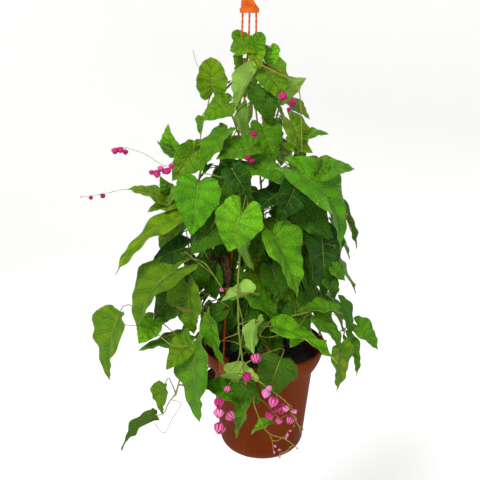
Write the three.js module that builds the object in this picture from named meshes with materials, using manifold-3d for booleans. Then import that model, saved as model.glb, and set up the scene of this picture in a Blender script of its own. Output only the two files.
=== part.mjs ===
// A coral vine grown up its hanger: a plastic pot of soil, a moulded hanger with three strands,
// leafy stems that climb the strands, and sprays of pink flowers. Millimetres, +Z up.
// The origin is the point inside the top of the hook, where the hanger is held.
import * as THREE from "three";
import { mergeVertices } from "three/addons/utils/BufferGeometryUtils.js";
import Module from "manifold-3d";

const wasm = await Module();
wasm.setup();

// Driving dimensions. Heights count from the underside of the pot, on the pot's axis.
const GAP = 0.3;
const FINEST = 0.02;
const POT_HEIGHT = 190;
const RIM_RADIUS = 100;
const LIP_HEIGHT = 35;
const LIP_FOOT_RADIUS = 89;
const WALL_TOP_RADIUS = 83;
const WALL_FOOT_RADIUS = 69;
const CORNER_RADIUS = 25;
const WALL = 2.4;
const FLOOR = 3;
const FOOT_RING = { inner: 34, outer: 45, notches: 6, notchWidth: 13 };
const DRAIN = { count: 4, radius: 5, ring: 22 };
const POT_SIDES = 26;

const SOIL_TOP = 168;
const SOIL_BUMP = 2.5;

const HUB = {
  x: -22.5, bottom: 704, plateWidth: 24, plateDepth: 5, barWidth: 28, barDepth: 9, barHeight: 7,
};
const HOOK = { inner: 12, bar: 5.5, depth: 6, shank: 20, from: -100, to: -325 };
const STRAND_RADIUS = 1.6;
const STRAND_SOCKET = 5;
const CLIP = { width: 12, depth: 11, height: 22 };

const STEM_RADIUS = 2;
const STEM_STEP = 32;
const PETIOLE_RADIUS = 1.1;
const STALK_RADIUS = 0.9;
const NECK = 1.5;
const BLADE_THICKNESS = 1.1;
const TRUE_WIDE = 0.86;
const MOST_TURN = THREE.MathUtils.degToRad(56);
const PETIOLE_LENGTH = 16;

// Places of leaves, stems and sprays are read off one front view on a 480 by 480 grid, u to the
// right and v down, taken from EYE with this pitch and focal length. A third number, near, says
// how far in front of the pot's axis the place lies.
const EYE = new THREE.Vector3(-36, -1200, 750);
const PITCH = THREE.MathUtils.degToRad(17.9);
const FOCAL = 808;
const VIEW_CENTRE = 240;

// Half a heart-shaped blade, from the notch round to the tip: share of the length, where behind the
// notch it is a share of the lobe, and share of the half width. The second blade is a blunt one.
const BLADE_EDGE = [[-0.9, 0.28], [-0.72, 0.72], [0.1, 1], [0.45, 0.83], [0.76, 0.4]];
const BLUNT_EDGE = [[-0.9, 0.3], [-0.7, 0.76], [0.15, 1], [0.58, 0.9], [0.88, 0.52]];
const BLADE_RIB = [0.2, 0.5, 0.78];

// How far a leaf is drawn forward or back along the line of sight until it is clear of other stems.
const CLEARANCE = 0.35;
const SHIFTS = [0, 8, -8, 16, -16, 24, -24, 32, -32, 40, -40];

const COLOURS = {
  pot: 0x6b371c, soil: 0x1c1613, hanger: 0xd0641f, leaf: 0x55950f, bloom: 0xdf569f, dry: 0x6b4a25,
};

const vec = (x, y, z) => new THREE.Vector3(x, y, z);

// The place seen at u, v on the front view, near millimetres in front of the pot's axis.
function seen(u, v, near) {
  const right = (u - VIEW_CENTRE) / FOCAL;
  const up = (VIEW_CENTRE - v) / FOCAL;
  const sight = vec(
    right,
    Math.cos(PITCH) + up * Math.sin(PITCH),
    -Math.sin(PITCH) + up * Math.cos(PITCH),
  );
  return sight.multiplyScalar((-EYE.y - near) / sight.y).add(EYE);
}

const route = (...places) => places.map(([u, v, near]) => seen(u, v, near));

// A seeded draw of numbers from 0 to 1, the same on every build.
function draws(seed) {
  let state = (seed * 7919 + 17) % 2147483647;
  return () => {
    state = (state * 16807) % 2147483647;
    return state / 2147483647;
  };
}

// A solid for joining and cutting, from a closed three.js geometry.
function solid(geometry) {
  const bare = new THREE.BufferGeometry();
  bare.setAttribute("position", geometry.attributes.position);
  if (geometry.index) bare.setIndex(geometry.index);
  const merged = mergeVertices(bare, 1e-3);
  const vertProperties = new Float32Array(merged.attributes.position.array);
  const triVerts = new Uint32Array(merged.index.array);
  const made = new wasm.Manifold(new wasm.Mesh({ numProp: 3, vertProperties, triVerts }));
  if (made.volume() > 0) return made;
  for (let i = 0; i < triVerts.length; i += 3) {
    [triVerts[i + 1], triVerts[i + 2]] = [triVerts[i + 2], triVerts[i + 1]];
  }
  return new wasm.Manifold(new wasm.Mesh({ numProp: 3, vertProperties, triVerts }));
}

function placedSolid(geometry, matrix) {
  return solid(geometry.clone().applyMatrix4(matrix));
}

const join = (solids) => wasm.Manifold.union(solids);

// The body of a joined solid, without slivers and loose scraps.
function largest(made) {
  const pieces = made.simplify(FINEST).decompose();
  return pieces.reduce((best, piece) => (piece.volume() > best.volume() ? piece : best));
}

function lathe(profile) {
  const geometry = new THREE.LatheGeometry(profile.map(([r, z]) => new THREE.Vector2(r, z)), POT_SIDES);
  return solid(geometry.rotateX(Math.PI / 2));
}

function box(x, y, z, centre, turn = 0) {
  const matrix = new THREE.Matrix4().makeRotationZ(turn).setPosition(centre);
  return placedSolid(new THREE.BoxGeometry(x, y, z), matrix);
}

function rod(radius, length, foot, sides = 12) {
  const geometry = new THREE.CylinderGeometry(radius, radius, length, sides).rotateX(Math.PI / 2);
  return placedSolid(geometry, new THREE.Matrix4().setPosition(foot.x, foot.y, foot.z + length / 2));
}

// A tube of the given number of sides along a smooth line through the points.
function tube(points, radius, sides, steps) {
  const section = new THREE.Shape();
  for (let i = 0; i < sides; i += 1) {
    const turn = (i * 2 * Math.PI) / sides;
    if (i === 0) section.moveTo(radius, 0);
    else section.lineTo(radius * Math.cos(turn), radius * Math.sin(turn));
  }
  section.closePath();
  const extrudePath = new THREE.CatmullRomCurve3(points, false, "catmullrom", 0.5);
  return solid(new THREE.ExtrudeGeometry(section, { steps, extrudePath, bevelEnabled: false }));
}

// The pot

function arc(centre, radius, from, to, steps) {
  const points = [];
  for (let i = 0; i <= steps; i += 1) {
    const turn = THREE.MathUtils.degToRad(from + ((to - from) * i) / steps);
    points.push([centre[0] + radius * Math.cos(turn), centre[1] + radius * Math.sin(turn)]);
  }
  return points;
}

// The rolled lip, grown on all sides so that the same outline also cuts the clips that grip it.
function lipProfile(grow) {
  const lipFoot = POT_HEIGHT - LIP_HEIGHT;
  return {
    outer: [
      [LIP_FOOT_RADIUS + grow, lipFoot],
      [RIM_RADIUS - 4 + grow, lipFoot + 14],
      [RIM_RADIUS + grow, POT_HEIGHT - 4],
      [RIM_RADIUS - 0.6 + grow, POT_HEIGHT - 1 + grow],
    ],
    inner: [
      [RIM_RADIUS - 1.6, POT_HEIGHT + grow],
      [RIM_RADIUS - WALL - 0.8 - grow, POT_HEIGHT - 1.4 + grow],
      [RIM_RADIUS - WALL - 1.4 - grow, lipFoot + 22],
      [LIP_FOOT_RADIUS - WALL - 1 - grow, lipFoot + 3],
    ],
  };
}

function cornerProfile(inset) {
  const centre = [WALL_FOOT_RADIUS - CORNER_RADIUS, FLOOR + CORNER_RADIUS];
  return arc(centre, CORNER_RADIUS - inset, -90, 0, 3);
}

function makePot() {
  const lip = lipProfile(0);
  const shell = lathe([
    [0, FLOOR],
    ...cornerProfile(0),
    [WALL_TOP_RADIUS, POT_HEIGHT - LIP_HEIGHT],
    ...lip.outer,
    ...lip.inner,
    [WALL_TOP_RADIUS - WALL, POT_HEIGHT - LIP_HEIGHT - 2],
    ...cornerProfile(WALL).reverse(),
    [0, FLOOR + WALL],
  ]);
  const ring = lathe([
    [FOOT_RING.inner, 0], [FOOT_RING.outer, 0], [FOOT_RING.outer, FLOOR + 1], [FOOT_RING.inner, FLOOR + 1],
    [FOOT_RING.inner, 0],
  ]);
  let pot = shell.add(ring);
  for (let i = 0; i < FOOT_RING.notches; i += 1) {
    const turn = ((i + 0.5) * 2 * Math.PI) / FOOT_RING.notches;
    const middle = (FOOT_RING.inner + FOOT_RING.outer) / 2;
    const centre = vec(middle * Math.cos(turn), middle * Math.sin(turn), FLOOR / 2 - 1);
    pot = pot.subtract(box(20, FOOT_RING.notchWidth, FLOOR + 2, centre, turn));
  }
  for (let i = 0; i < DRAIN.count; i += 1) {
    const turn = ((i + 0.5) * 2 * Math.PI) / DRAIN.count;
    const foot = vec(DRAIN.ring * Math.cos(turn), DRAIN.ring * Math.sin(turn), -1);
    pot = pot.subtract(rod(DRAIN.radius, FLOOR + WALL + 3, foot, 8));
  }
  return pot;
}

// Soil, a little below the rim, with an uneven top
function makeSoil() {
  const side = cornerProfile(WALL + GAP);
  const geometry = new THREE.LatheGeometry([
    [0, FLOOR + WALL + GAP],
    ...side,
    [WALL_TOP_RADIUS - WALL - GAP, POT_HEIGHT - LIP_HEIGHT - 0.5],
    [LIP_FOOT_RADIUS - WALL - 3, SOIL_TOP - 2],
    [58, SOIL_TOP], [28, SOIL_TOP], [0, SOIL_TOP],
  ].map(([r, z]) => new THREE.Vector2(r, z)), POT_SIDES / 2).rotateX(Math.PI / 2);
  const place = geometry.attributes.position;
  for (let i = 0; i < place.count; i += 1) {
    const [x, y, z] = [place.getX(i), place.getY(i), place.getZ(i)];
    if (z < SOIL_TOP - 0.5) continue;
    place.setZ(i, z + SOIL_BUMP * Math.sin(x * 0.11 + 1) * Math.cos(y * 0.09));
  }
  return solid(geometry);
}

// The hanger: hub with its hook, and three strands that clip over the rim

function strandTops() {
  return [-9.8, 0, 9.8].map((x) => HUB.x + x);
}

function makeHub() {
  const plate = new THREE.Shape();
  const left = HUB.x - HUB.plateWidth / 2;
  const right = HUB.x + HUB.plateWidth / 2;
  const shoulder = HUB.bottom + HUB.barHeight;
  const neck = HOOK.bar / 2;
  const hookCentre = hookCentreHeight();
  plate.moveTo(left, HUB.bottom + 1);
  plate.lineTo(right, HUB.bottom + 1);
  plate.lineTo(right, shoulder);
  plate.lineTo(HUB.x + 4, shoulder + 14);
  plate.lineTo(HUB.x + neck, shoulder + 20);
  plate.lineTo(HUB.x + neck, hookCentre - HOOK.inner - neck);
  plate.lineTo(HUB.x - neck, hookCentre - HOOK.inner - neck);
  plate.lineTo(HUB.x - neck, shoulder + 20);
  plate.lineTo(left + 1, shoulder + 10);
  plate.lineTo(left, shoulder);
  const hook = new THREE.Shape();
  const [from, to] = [THREE.MathUtils.degToRad(HOOK.from), THREE.MathUtils.degToRad(HOOK.to)];
  hook.absarc(HUB.x, hookCentre, HOOK.inner + HOOK.bar, from, to, true);
  hook.absarc(HUB.x, hookCentre, HOOK.inner, to, from, false);
  const flat = (shape, depth) => solid(
    new THREE.ExtrudeGeometry(shape, { depth, bevelEnabled: false, curveSegments: 7 })
      .rotateX(Math.PI / 2).translate(0, depth / 2, 0),
  );
  const flange = (x, height) => box(1.6, HUB.plateDepth + 3, height, vec(x, 0, HUB.bottom + height / 2));
  const bar = box(HUB.barWidth, HUB.barDepth, HUB.barHeight, vec(HUB.x, 0, HUB.bottom + HUB.barHeight / 2));
  const shank = box(HOOK.bar, HOOK.depth, 12, vec(HUB.x, 0, hookCentre - HOOK.inner - 5));
  const joined = join([
    flat(plate, HUB.plateDepth), flat(hook, HOOK.depth), bar, shank,
    flange(left + 0.8, 17), flange(right - 0.8, 10),
  ]);
  const sockets = strandTops().map((x) => (
    rod(STRAND_RADIUS + GAP, STRAND_SOCKET + 1, vec(x, 0, HUB.bottom - 1), 8)));
  return joined.subtract(join(sockets));
}

function hookCentreHeight() {
  return HUB.bottom + HUB.barHeight + 20 + HOOK.shank + HOOK.inner;
}

// Each strand leaves the hub straight down, is gathered by the stems half way, and ends in a clip.
const STRANDS = {
  hanger_strand_left: {
    rimAt: 232,
    places: [[248.4, 45, 2], [246.5, 65, 4], [245.5, 80, 6], [241.3, 157, 12], [239.8, 168, 14],
      [231.5, 256, 46], [228.5, 280, 56], [226, 303, 66]],
    top: 1,
  },
  hanger_strand_back: {
    rimAt: 112,
    places: [[241.8, 40, -3], [241.8, 83, -9], [239, 120, -18], [239.5, 220, -52]],
    top: 0,
  },
  hanger_strand_right: {
    rimAt: 352,
    places: [[256.8, 45, 0], [262, 107, 1], [264, 127, 2], [266, 154, 3], [298.5, 281, 11]],
    top: 2,
  },
};

function makeStrand({ rimAt, places, top }) {
  const turn = THREE.MathUtils.degToRad(rimAt);
  const rimPoint = (radius, z) => vec(radius * Math.cos(turn), radius * Math.sin(turn), z);
  const x = strandTops()[top];
  const points = [
    vec(x, 0, HUB.bottom + STRAND_SOCKET - GAP),
    vec(x, 0, HUB.bottom - 8),
    ...route(...places),
    rimPoint(RIM_RADIUS - 1, POT_HEIGHT + 8),
    rimPoint(RIM_RADIUS - 1, POT_HEIGHT + 3),
  ];
  const clip = box(CLIP.depth, CLIP.width, CLIP.height, rimPoint(RIM_RADIUS - 1.2, POT_HEIGHT - 5), turn);
  const lip = lipProfile(GAP);
  const groove = lathe([...lip.outer, ...lip.inner, lip.outer[0]]);
  return largest(join([tube(points, STRAND_RADIUS, 4, 24), clip.subtract(groove)]));
}

// Leafy stems

const CORE_LEAN = HUB.x / (HUB.bottom - POT_HEIGHT);
const CORE_STEP = 34;

// A stem's way up between the strands, to a height. Each stem keeps its own side of the middle line,
// and below the place where the strands draw in, they wind to and fro together.
function core(side, top) {
  const places = [];
  for (let z = SOIL_TOP - 18; z < top; z += CORE_STEP) {
    const share = THREE.MathUtils.clamp((z - POT_HEIGHT) / (HUB.bottom - POT_HEIGHT), 0, 1);
    const wind = Math.sin((z - SOIL_TOP) / 52) * Math.max(0, 1 - share / 0.5);
    const turn = THREE.MathUtils.degToRad(side + 16 * wind);
    const radius = 36 - 18 * share ** 0.7 + 1.5 * Math.sin(z / 23 + side);
    const middle = CORE_LEAN * Math.max(z - POT_HEIGHT, 0);
    places.push(vec(middle + radius * Math.cos(turn), radius * Math.sin(turn), z));
  }
  return places;
}

// A leaf on the front view, with the width that it shows there as a share of its length. Its bow is
// how far its rib curves to one side, as a share of its length too.
function leaf(base, tip, near, more = {}) {
  return { base, tip, near, wide: 0.8, lobe: 0.26, under: false, blunt: false, ...more };
}

// A leaf that shows narrower than a blade is wide is turned about its rib, to the side that turns its
// upper face more outward and up.
function turned(top, along, base, wide) {
  const angle = Math.min(Math.acos(Math.min(wide / TRUE_WIDE, 1)), MOST_TURN);
  const middle = CORE_LEAN * Math.max(base.z - POT_HEIGHT, 0);
  const wanted = vec(base.x - middle, base.y, 0).normalize().add(vec(0, 0, 0.8));
  const [one, other] = [angle, -angle].map((by) => top.clone().applyAxisAngle(along, by));
  return { top: one.dot(wanted) > other.dot(wanted) ? one : other, wide: wide / Math.cos(angle) };
}

// The blade's own frame and form. A leaf given on the front view faces the eye, and others face
// away from the pot's axis.
function laidOut(one, shift, order) {
  const draw = draws(order);
  let base;
  let tip;
  let faces;
  if (one.out) {
    const turn = THREE.MathUtils.degToRad(one.around);
    const outward = vec(Math.cos(turn), Math.sin(turn), 0);
    const along = vec(-Math.sin(turn), Math.cos(turn), 0);
    base = outward.clone().multiplyScalar(one.out + shift).add(vec(one.middle, 0, one.height));
    tip = base.clone()
      .addScaledVector(outward, one.length * one.reach)
      .addScaledVector(along, one.length * one.sway)
      .addScaledVector(vec(0, 0, -1), one.length * one.drop);
    faces = outward.clone().add(vec(0, 0, 0.5));
  } else {
    base = seen(...one.base, one.near + shift);
    tip = seen(...one.tip, one.near + shift);
    const lean = one.lean ?? (0.45 * draw() - 0.1) * base.distanceTo(tip);
    tip = seen(...one.tip, one.near + shift + lean);
    faces = EYE.clone().sub(base);
  }
  const along = tip.clone().sub(base);
  const length = along.length();
  along.normalize();
  const facing = faces.addScaledVector(along, -faces.dot(along)).normalize();
  if (one.under) facing.negate();
  const { top, wide } = one.out ? { top: facing, wide: one.wide } : turned(facing, along, base, one.wide);
  if (one.roll) top.applyAxisAngle(along, THREE.MathUtils.degToRad(one.roll));
  return {
    base, tip, along, top, across: top.clone().cross(along), length,
    half: (wide * length) / 2,
    lobe: one.lobe,
    edge: one.blunt ? BLUNT_EDGE : BLADE_EDGE,
    bow: one.bow ?? 0,
    fold: THREE.MathUtils.degToRad(6 + 14 * draw()),
    arch: 0.03 + 0.06 * draw(),
    wave: 0.05 + 0.05 * draw(),
    phase: 6.28 * draw(),
  };
}

// A place on the blade: s along the rib, t out from it, from 0 to 1 on the side given by its sign.
function onBlade(form, s, t, lift = 0) {
  const side = Math.sign(t);
  const out = Math.abs(t);
  const away = out * form.half;
  const rise = away * Math.sin(form.fold)
    + form.arch * form.length * 4 * s * (1 - s)
    + form.wave * form.half * Math.sin(form.phase + 7 * s + 1.3 * side) * out * out;
  const bowed = form.bow * form.length * 4 * s * (1 - s);
  return form.base.clone()
    .addScaledVector(form.along, s * form.length)
    .addScaledVector(form.across, side * away * Math.cos(form.fold) + bowed)
    .addScaledVector(form.top, rise + lift);
}

// A leaf as one closed mesh: a three-sided petiole along the path, whose last ring is the notch of
// a lens-shaped blade. Both faces of the blade share its edge and are split into the same triangles.
function leafSolid(form, path, grow = 0) {
  const half = BLADE_THICKNESS / 2 + grow;
  const spread = 1 + grow / form.half;
  const lobed = (s) => (s < 0 ? s * form.lobe : s);
  const side = (sign) => form.edge.map(([s, t]) => onBlade(form, lobed(s), sign * t * spread));
  const rib = (lift) => BLADE_RIB.map((s) => onBlade(form, s, 0, lift));
  const rings = petioleRings(form, path, PETIOLE_RADIUS + grow);
  const points = [...rings, ...side(1), ...side(-1), ...rib(half), ...rib(-half), onBlade(form, 1, 0)];
  const [top, right, left] = [rings.length - 3, rings.length - 2, rings.length - 1];
  const tip = points.length - 1;
  const n = form.edge.length;
  const rightEdge = rings.length;
  const leftEdge = rightEdge + n;
  const upper = leftEdge + n;
  const lower = upper + BLADE_RIB.length;
  const faces = [0, 2, 1];
  for (let at = 0; at < top; at += 3) {
    for (const [a, b] of [[1, 0], [2, 1], [0, 2]]) {
      faces.push(at + 3 + a, at + 3 + b, at + b, at + 3 + a, at + b, at + a);
    }
  }
  const face = (notch, edge, ribs, flip) => [
    [notch, edge, ribs], [edge, edge + 1, ribs], [edge + 1, edge + 2, ribs],
    [ribs, edge + 2, ribs + 1], [edge + 2, edge + 3, ribs + 1],
    [ribs + 1, edge + 3, ribs + 2], [edge + 3, edge + 4, ribs + 2], [edge + 4, tip, ribs + 2],
  ].forEach(([a, b, c]) => faces.push(...(flip ? [a, c, b] : [a, b, c])));
  face(top, rightEdge, upper, false);
  face(top, leftEdge, upper, true);
  face(right, rightEdge, lower, true);
  face(left, leftEdge, lower, false);
  faces.push(top, right, rightEdge, top, leftEdge, left, right, left, lower);
  return closed(points, faces);
}

// Rings of three corners along the path and at the blade's notch, each turned as little as it can
// be from the next.
function petioleRings(form, path, radius) {
  const places = [...path, form.base];
  const [up, out] = [form.top.clone(), form.across.clone()];
  const heading = form.along.clone();
  const rings = [];
  for (let i = places.length - 1; i >= 0; i -= 1) {
    if (i < places.length - 1) {
      const ahead = places[i + 1].clone().sub(places[Math.max(i - 1, 0)]).normalize();
      const turn = new THREE.Quaternion().setFromUnitVectors(heading, ahead);
      [up, out, heading].forEach((direction) => direction.applyQuaternion(turn));
    }
    const corner = (u, o) => (
      places[i].clone().addScaledVector(up, u * radius).addScaledVector(out, o * radius));
    rings.unshift(corner(1, 0), corner(-0.5, 0.87), corner(-0.5, -0.87));
  }
  return rings;
}

// A solid from its corners and its triangles.
function closed(points, faces) {
  const geometry = new THREE.BufferGeometry();
  const places = points.flatMap((point) => point.toArray());
  geometry.setAttribute("position", new THREE.Float32BufferAttribute(places, 3));
  geometry.setIndex(faces);
  return solid(geometry);
}

function nearest(points, place) {
  return points.reduce((best, point) => (
    point.distanceTo(place) < best.distanceTo(place) ? point : best));
}

// A leaf and the thin branch that joins it to the nearest wood. The branch meets the blade from
// behind its notch and from its underside.
function leafOnWood(one, shift, order, wood) {
  const form = laidOut(one, shift, order);
  const from = nearest(wood, form.base);
  const reach = form.base.distanceTo(from);
  const pull = Math.min(PETIOLE_LENGTH, 0.45 * reach);
  const joint = form.base.clone()
    .addScaledVector(form.along, -0.75 * pull)
    .addScaledVector(form.top, -0.6 * pull);
  const middle = from.clone().lerp(joint, 0.5).add(vec(0, 0, 0.08 * reach));
  const line = new THREE.CatmullRomCurve3([from, middle, joint], false, "catmullrom", 0.5);
  const path = line.getSpacedPoints(2 + Math.min(Math.round(reach / 50), 2));
  return { form, path, wood: path.slice(1) };
}

// Whether the branch runs through its own blade on its way to the notch.
function crossesItself({ form, path }) {
  const joint = path.at(-1);
  const before = joint.clone().lerp(path.at(-2), 0.2);
  const branch = tube([...path.slice(0, -1), before], PETIOLE_RADIUS, 3, path.length);
  return leafSolid(form, [joint]).intersect(branch).volume() > 1e-4;
}

// Points on the middle line of a tube of the same steps, at its joints and half way between them
function alongTube(points, steps) {
  const line = new THREE.CatmullRomCurve3(points, false, "catmullrom", 0.5);
  const joints = line.getSpacedPoints(steps);
  return joints.flatMap((joint, i) => (i ? [joint.clone().lerp(joints[i - 1], 0.5), joint] : [joint]));
}

const lengthOf = (points) => new THREE.CatmullRomCurve3(points, false, "catmullrom", 0.5).getLength();

const meets = (made, others) => others.some((other) => made.intersect(other).volume() > 1e-4);

// One leafy stem, with the room that it takes up in the soil. A leaf that would cross what is
// already there is drawn forward or back until it is clear, and one that never is clear is left out.
function makeVine({ stem, leaves }, standing, firstOrder) {
  const steps = Math.ceil(lengthOf(stem) / STEM_STEP);
  const wood = alongTube(stem, steps);
  const solids = [tube(stem, STEM_RADIUS, 4, steps)];
  const room = tube(stem, STEM_RADIUS + GAP + 0.1, 4, steps);
  const above = wood.filter((point) => point.z > POT_HEIGHT + 12 || point.length() > RIM_RADIUS + 30);
  leaves.forEach((one, i) => {
    const shift = SHIFTS.find((by) => {
      const tried = leafOnWood(one, by, firstOrder + i, above);
      return !crossesItself(tried) && !meets(leafSolid(tried.form, tried.path, CLEARANCE), standing);
    });
    if (shift === undefined) return;
    const grown = leafOnWood(one, shift, firstOrder + i, above);
    above.push(...grown.wood);
    solids.push(leafSolid(grown.form, grown.path));
  });
  return { made: largest(join(solids)), wood: above, room };
}

// Leaves round the sides and back, which the front view doesn't show
function round(seed, count, [from, to], [low, high], more = {}) {
  const draw = draws(seed);
  const leaves = [];
  for (let i = 0; i < count; i += 1) {
    const height = low + ((high - low) * (i + draw())) / count;
    const out = spread(height);
    leaves.push({
      height, middle: CORE_LEAN * Math.max(height - POT_HEIGHT, 0) * 0.8,
      around: from + (to - from) * draw(),
      out: out * (0.5 + 0.42 * draw()),
      length: (38 + 40 * draw()) * (height > 520 ? 0.7 : 1),
      reach: 0.2 + 0.35 * draw(),
      sway: -0.5 + draw(),
      drop: 0.5 + 0.4 * draw(),
      wide: 0.75 + 0.25 * draw(),
      lobe: 0.26, roll: 30 * (draw() - 0.5), under: false, ...more,
    });
  }
  return leaves;
}

// How far the leaves spread from the middle line at each height
const SPREAD = [[60, 128], [190, 165], [330, 150], [430, 135], [500, 115], [560, 80], [620, 55], [700, 20]];
function spread(height) {
  const above = SPREAD.findIndex(([z]) => z > height);
  if (above < 1) return above === 0 ? SPREAD[0][1] : SPREAD[SPREAD.length - 1][1];
  const [[lowZ, lowOut], [highZ, highOut]] = [SPREAD[above - 1], SPREAD[above]];
  return lowOut + ((highOut - lowOut) * (height - lowZ)) / (highZ - lowZ);
}

const VINES = [
  {
    name: "vine_front",
    stem: [
      ...core(280, 440),
      ...route([241, 190, 78], [239, 215, 76], [240.5, 243, 80], [238, 285, 100], [239, 330, 114],
        [243, 365, 124], [246, 384, 126]),
    ],
    leaves: [
      leaf([253, 292], [221, 301], 98, { wide: 0.55, lobe: 0.15, under: true }),
      leaf([254, 297], [281, 323], 92, { wide: 0.5 }),
      leaf([255, 324], [254, 355], 110, { wide: 0.5, under: true }),
      leaf([281, 358], [264, 399], 114, { wide: 0.85, lobe: 0.06 }),
      leaf([227, 373], [264, 381], 130, { wide: 0.55, lobe: 0.12, under: true }),
      leaf([242, 385], [260, 404], 118, { wide: 0.85 }),
      leaf([248, 402], [236, 438], 118, { wide: 0.32, lobe: 0.1 }),
      leaf([271, 421], [251, 434], 118, { wide: 0.4, lobe: 0.1 }),
    ],
  },
  {
    name: "vine_centre",
    stem: [
      ...core(262, 410),
      ...route([250, 180, 50], [248, 158, 54], [243, 140, 46], [238, 120, 40], [237, 112, 36]),
    ],
    leaves: [
      leaf([241, 214], [228.5, 252], 92, { wide: 1.18, lobe: 0.42 }),
      leaf([273, 233], [297.5, 297], 92, { wide: 0.52, lobe: 0.12 }),
      leaf([199, 182], [191, 236.5], 80, { wide: 0.86, lobe: 0.12 }),
      leaf([256, 164], [289, 186.5], 66, { wide: 0.58, lobe: 0.55 }),
      leaf([252, 147], [216, 159], 60, { wide: 0.65 }),
      leaf([227, 130], [200, 173], 48, { wide: 0.42, lobe: 0.1 }),
      leaf([233, 171], [250, 198], 56, { wide: 0.9 }),
      leaf([282, 190], [253, 215], 66, { wide: 0.6 }),
      leaf([245, 238], [254, 271], 84, { wide: 0.32, under: true }),
      leaf([248, 108], [250, 146], 40, { wide: 0.45, under: true }),
    ],
  },
  {
    name: "vine_right_high",
    stem: [
      ...core(330, 480),
      ...route([269, 142, 16], [275, 122, 20], [281, 102, 18], [284, 90, 16]),
    ],
    leaves: [
      leaf([302, 174], [341, 250], 74, { wide: 0.36, bow: 0.12 }),
      leaf([317, 171], [355, 169], 50, { wide: 0.6 }),
      leaf([322, 164], [312, 182], 60, { wide: 0.7 }),
      leaf([290, 122], [302, 167], 32, { wide: 0.45 }),
      leaf([305, 135], [329, 134], 22, { wide: 0.42 }),
      leaf([290, 143], [313, 153], 24, { wide: 0.7 }),
      leaf([281, 95], [306.5, 78], 20, { wide: 0.75, under: true }),
      leaf([303, 208], [330, 240], 40, { wide: 0.8 }),
      leaf([296, 186], [278, 222], 44, { wide: 0.8 }),
      leaf([263, 127], [274, 165], 34, { wide: 0.8 }),
    ],
  },
  {
    name: "vine_top",
    stem: [
      ...core(15, 650),
      ...route([254, 48, -9], [251, 36, -10]),
    ],
    leaves: [
      leaf([268, 66], [283, 102], 18, { wide: 0.85 }),
      leaf([270, 49], [273, 70], 10, { wide: 0.95 }),
      leaf([256, 46], [230, 51], 14, { wide: 0.68, blunt: true }),
      leaf([257, 48], [255, 69], 8, { wide: 0.75, blunt: true, roll: 30 }),
      leaf([245, 41], [232, 32], -12, { wide: 0.95, blunt: true }),
      leaf([255, 48], [262, 32], -14, { wide: 1.0, blunt: true }),
      leaf([256, 69], [235, 111], 31, { wide: 0.52, lobe: 0.12, under: true }),
      leaf([254, 90], [260, 112], 22, { wide: 0.8 }),
      leaf([262, 96], [272, 124], 12, { wide: 0.8 }),
    ],
  },
  {
    name: "vine_left_high",
    stem: [
      ...core(172, 540),
      ...route([225, 98, 10], [220, 92, 14], [216, 86, 14]),
    ],
    leaves: [
      leaf([212, 89], [211, 57], 20, { wide: 1.0, lobe: 0.36, blunt: true }),
      leaf([228, 104], [202, 121], 28, { wide: 0.8 }),
      leaf([201, 117], [200, 135], 22, { wide: 0.42, lobe: 0.1 }),
      leaf([194, 152], [172, 181], 46, { wide: 0.9 }),
      leaf([174, 152], [168, 124], 28, { wide: 0.6 }),
      leaf([174, 155], [157, 141], 32, { wide: 0.28 }),
      leaf([172, 192], [160, 176], 36, { wide: 0.75 }),
      leaf([162, 199], [126.5, 189], 44, { wide: 0.4, lobe: 0.2 }),
      leaf([176, 217], [115, 275], 60, { wide: 0.21, bow: -0.08 }),
    ],
  },
  {
    name: "vine_left_mid",
    stem: [
      ...core(190, 300),
      ...route([216, 268, 30], [206, 254, 48], [200, 240, 58], [198, 228, 60]),
    ],
    leaves: [
      leaf([176, 270], [137, 331], 84, { wide: 0.5, bow: -0.13 }),
      leaf([221, 224], [191, 255], 70, { wide: 0.8 }),
      leaf([188, 287], [194, 335], 92, { wide: 0.62 }),
      leaf([178, 294], [156, 328], 70, { wide: 0.7 }),
      leaf([184, 248], [152, 262], 50, { wide: 0.7 }),
      leaf([210, 268], [216, 300], 60, { wide: 0.8 }),
      leaf([175, 222], [160, 250], 30, { wide: 0.6 }),
    ],
  },
  {
    name: "vine_left_low",
    stem: [
      ...core(206, 215),
      ...route([219, 328, 28], [204, 330, 50], [193, 340, 78], [186, 354, 94], [181, 374, 102],
        [176, 394, 106]),
    ],
    leaves: [
      leaf([194, 347], [199.7, 423], 118, { wide: 0.38, lobe: 0.2 }),
      leaf([120, 312], [109.5, 380.5], 60, { wide: 0.38, lobe: 0.04 }),
      leaf([186, 341], [138, 351], 74, { wide: 0.32 }),
      leaf([187, 344], [166, 370], 100, { wide: 0.7 }),
      leaf([164, 385], [163, 415], 84, { wide: 0.5, lobe: 0.1 }),
      leaf([154, 416], [121, 451], 100, { wide: 0.24, lobe: 0.1, lean: 0, bow: -0.09 }),
      leaf([207, 316], [224.5, 367], 102, { wide: 0.26, lobe: 0.1 }),
      leaf([236, 397], [198, 384.5], 109, { wide: 0.62, lobe: 0.12, lean: 0 }),
    ],
  },
  {
    name: "vine_right_mid",
    stem: [
      ...core(314, 300),
      ...route([284, 270, 36], [296, 254, 42], [305, 240, 42], [312, 226, 36]),
    ],
    leaves: [
      leaf([300, 240], [310, 300], 36, { wide: 0.6 }),
      leaf([322, 238], [323, 299], 44, { wide: 0.6 }),
      leaf([318, 212], [296, 250], 22, { wide: 0.75 }),
      leaf([334, 268], [345, 281], 48, { wide: 0.7 }),
      leaf([327, 278], [334, 301], 52, { wide: 0.6 }),
      leaf([340, 206], [357, 249], 14, { wide: 0.2 }),
      leaf([272, 268], [282, 300], 66, { wide: 0.8 }),
    ],
  },
  {
    name: "vine_right_low",
    stem: [
      ...core(297, 215),
      ...route([283, 322, 54], [300, 314, 70], [318, 311, 72], [334, 312, 62], [344, 330, 56]),
    ],
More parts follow.
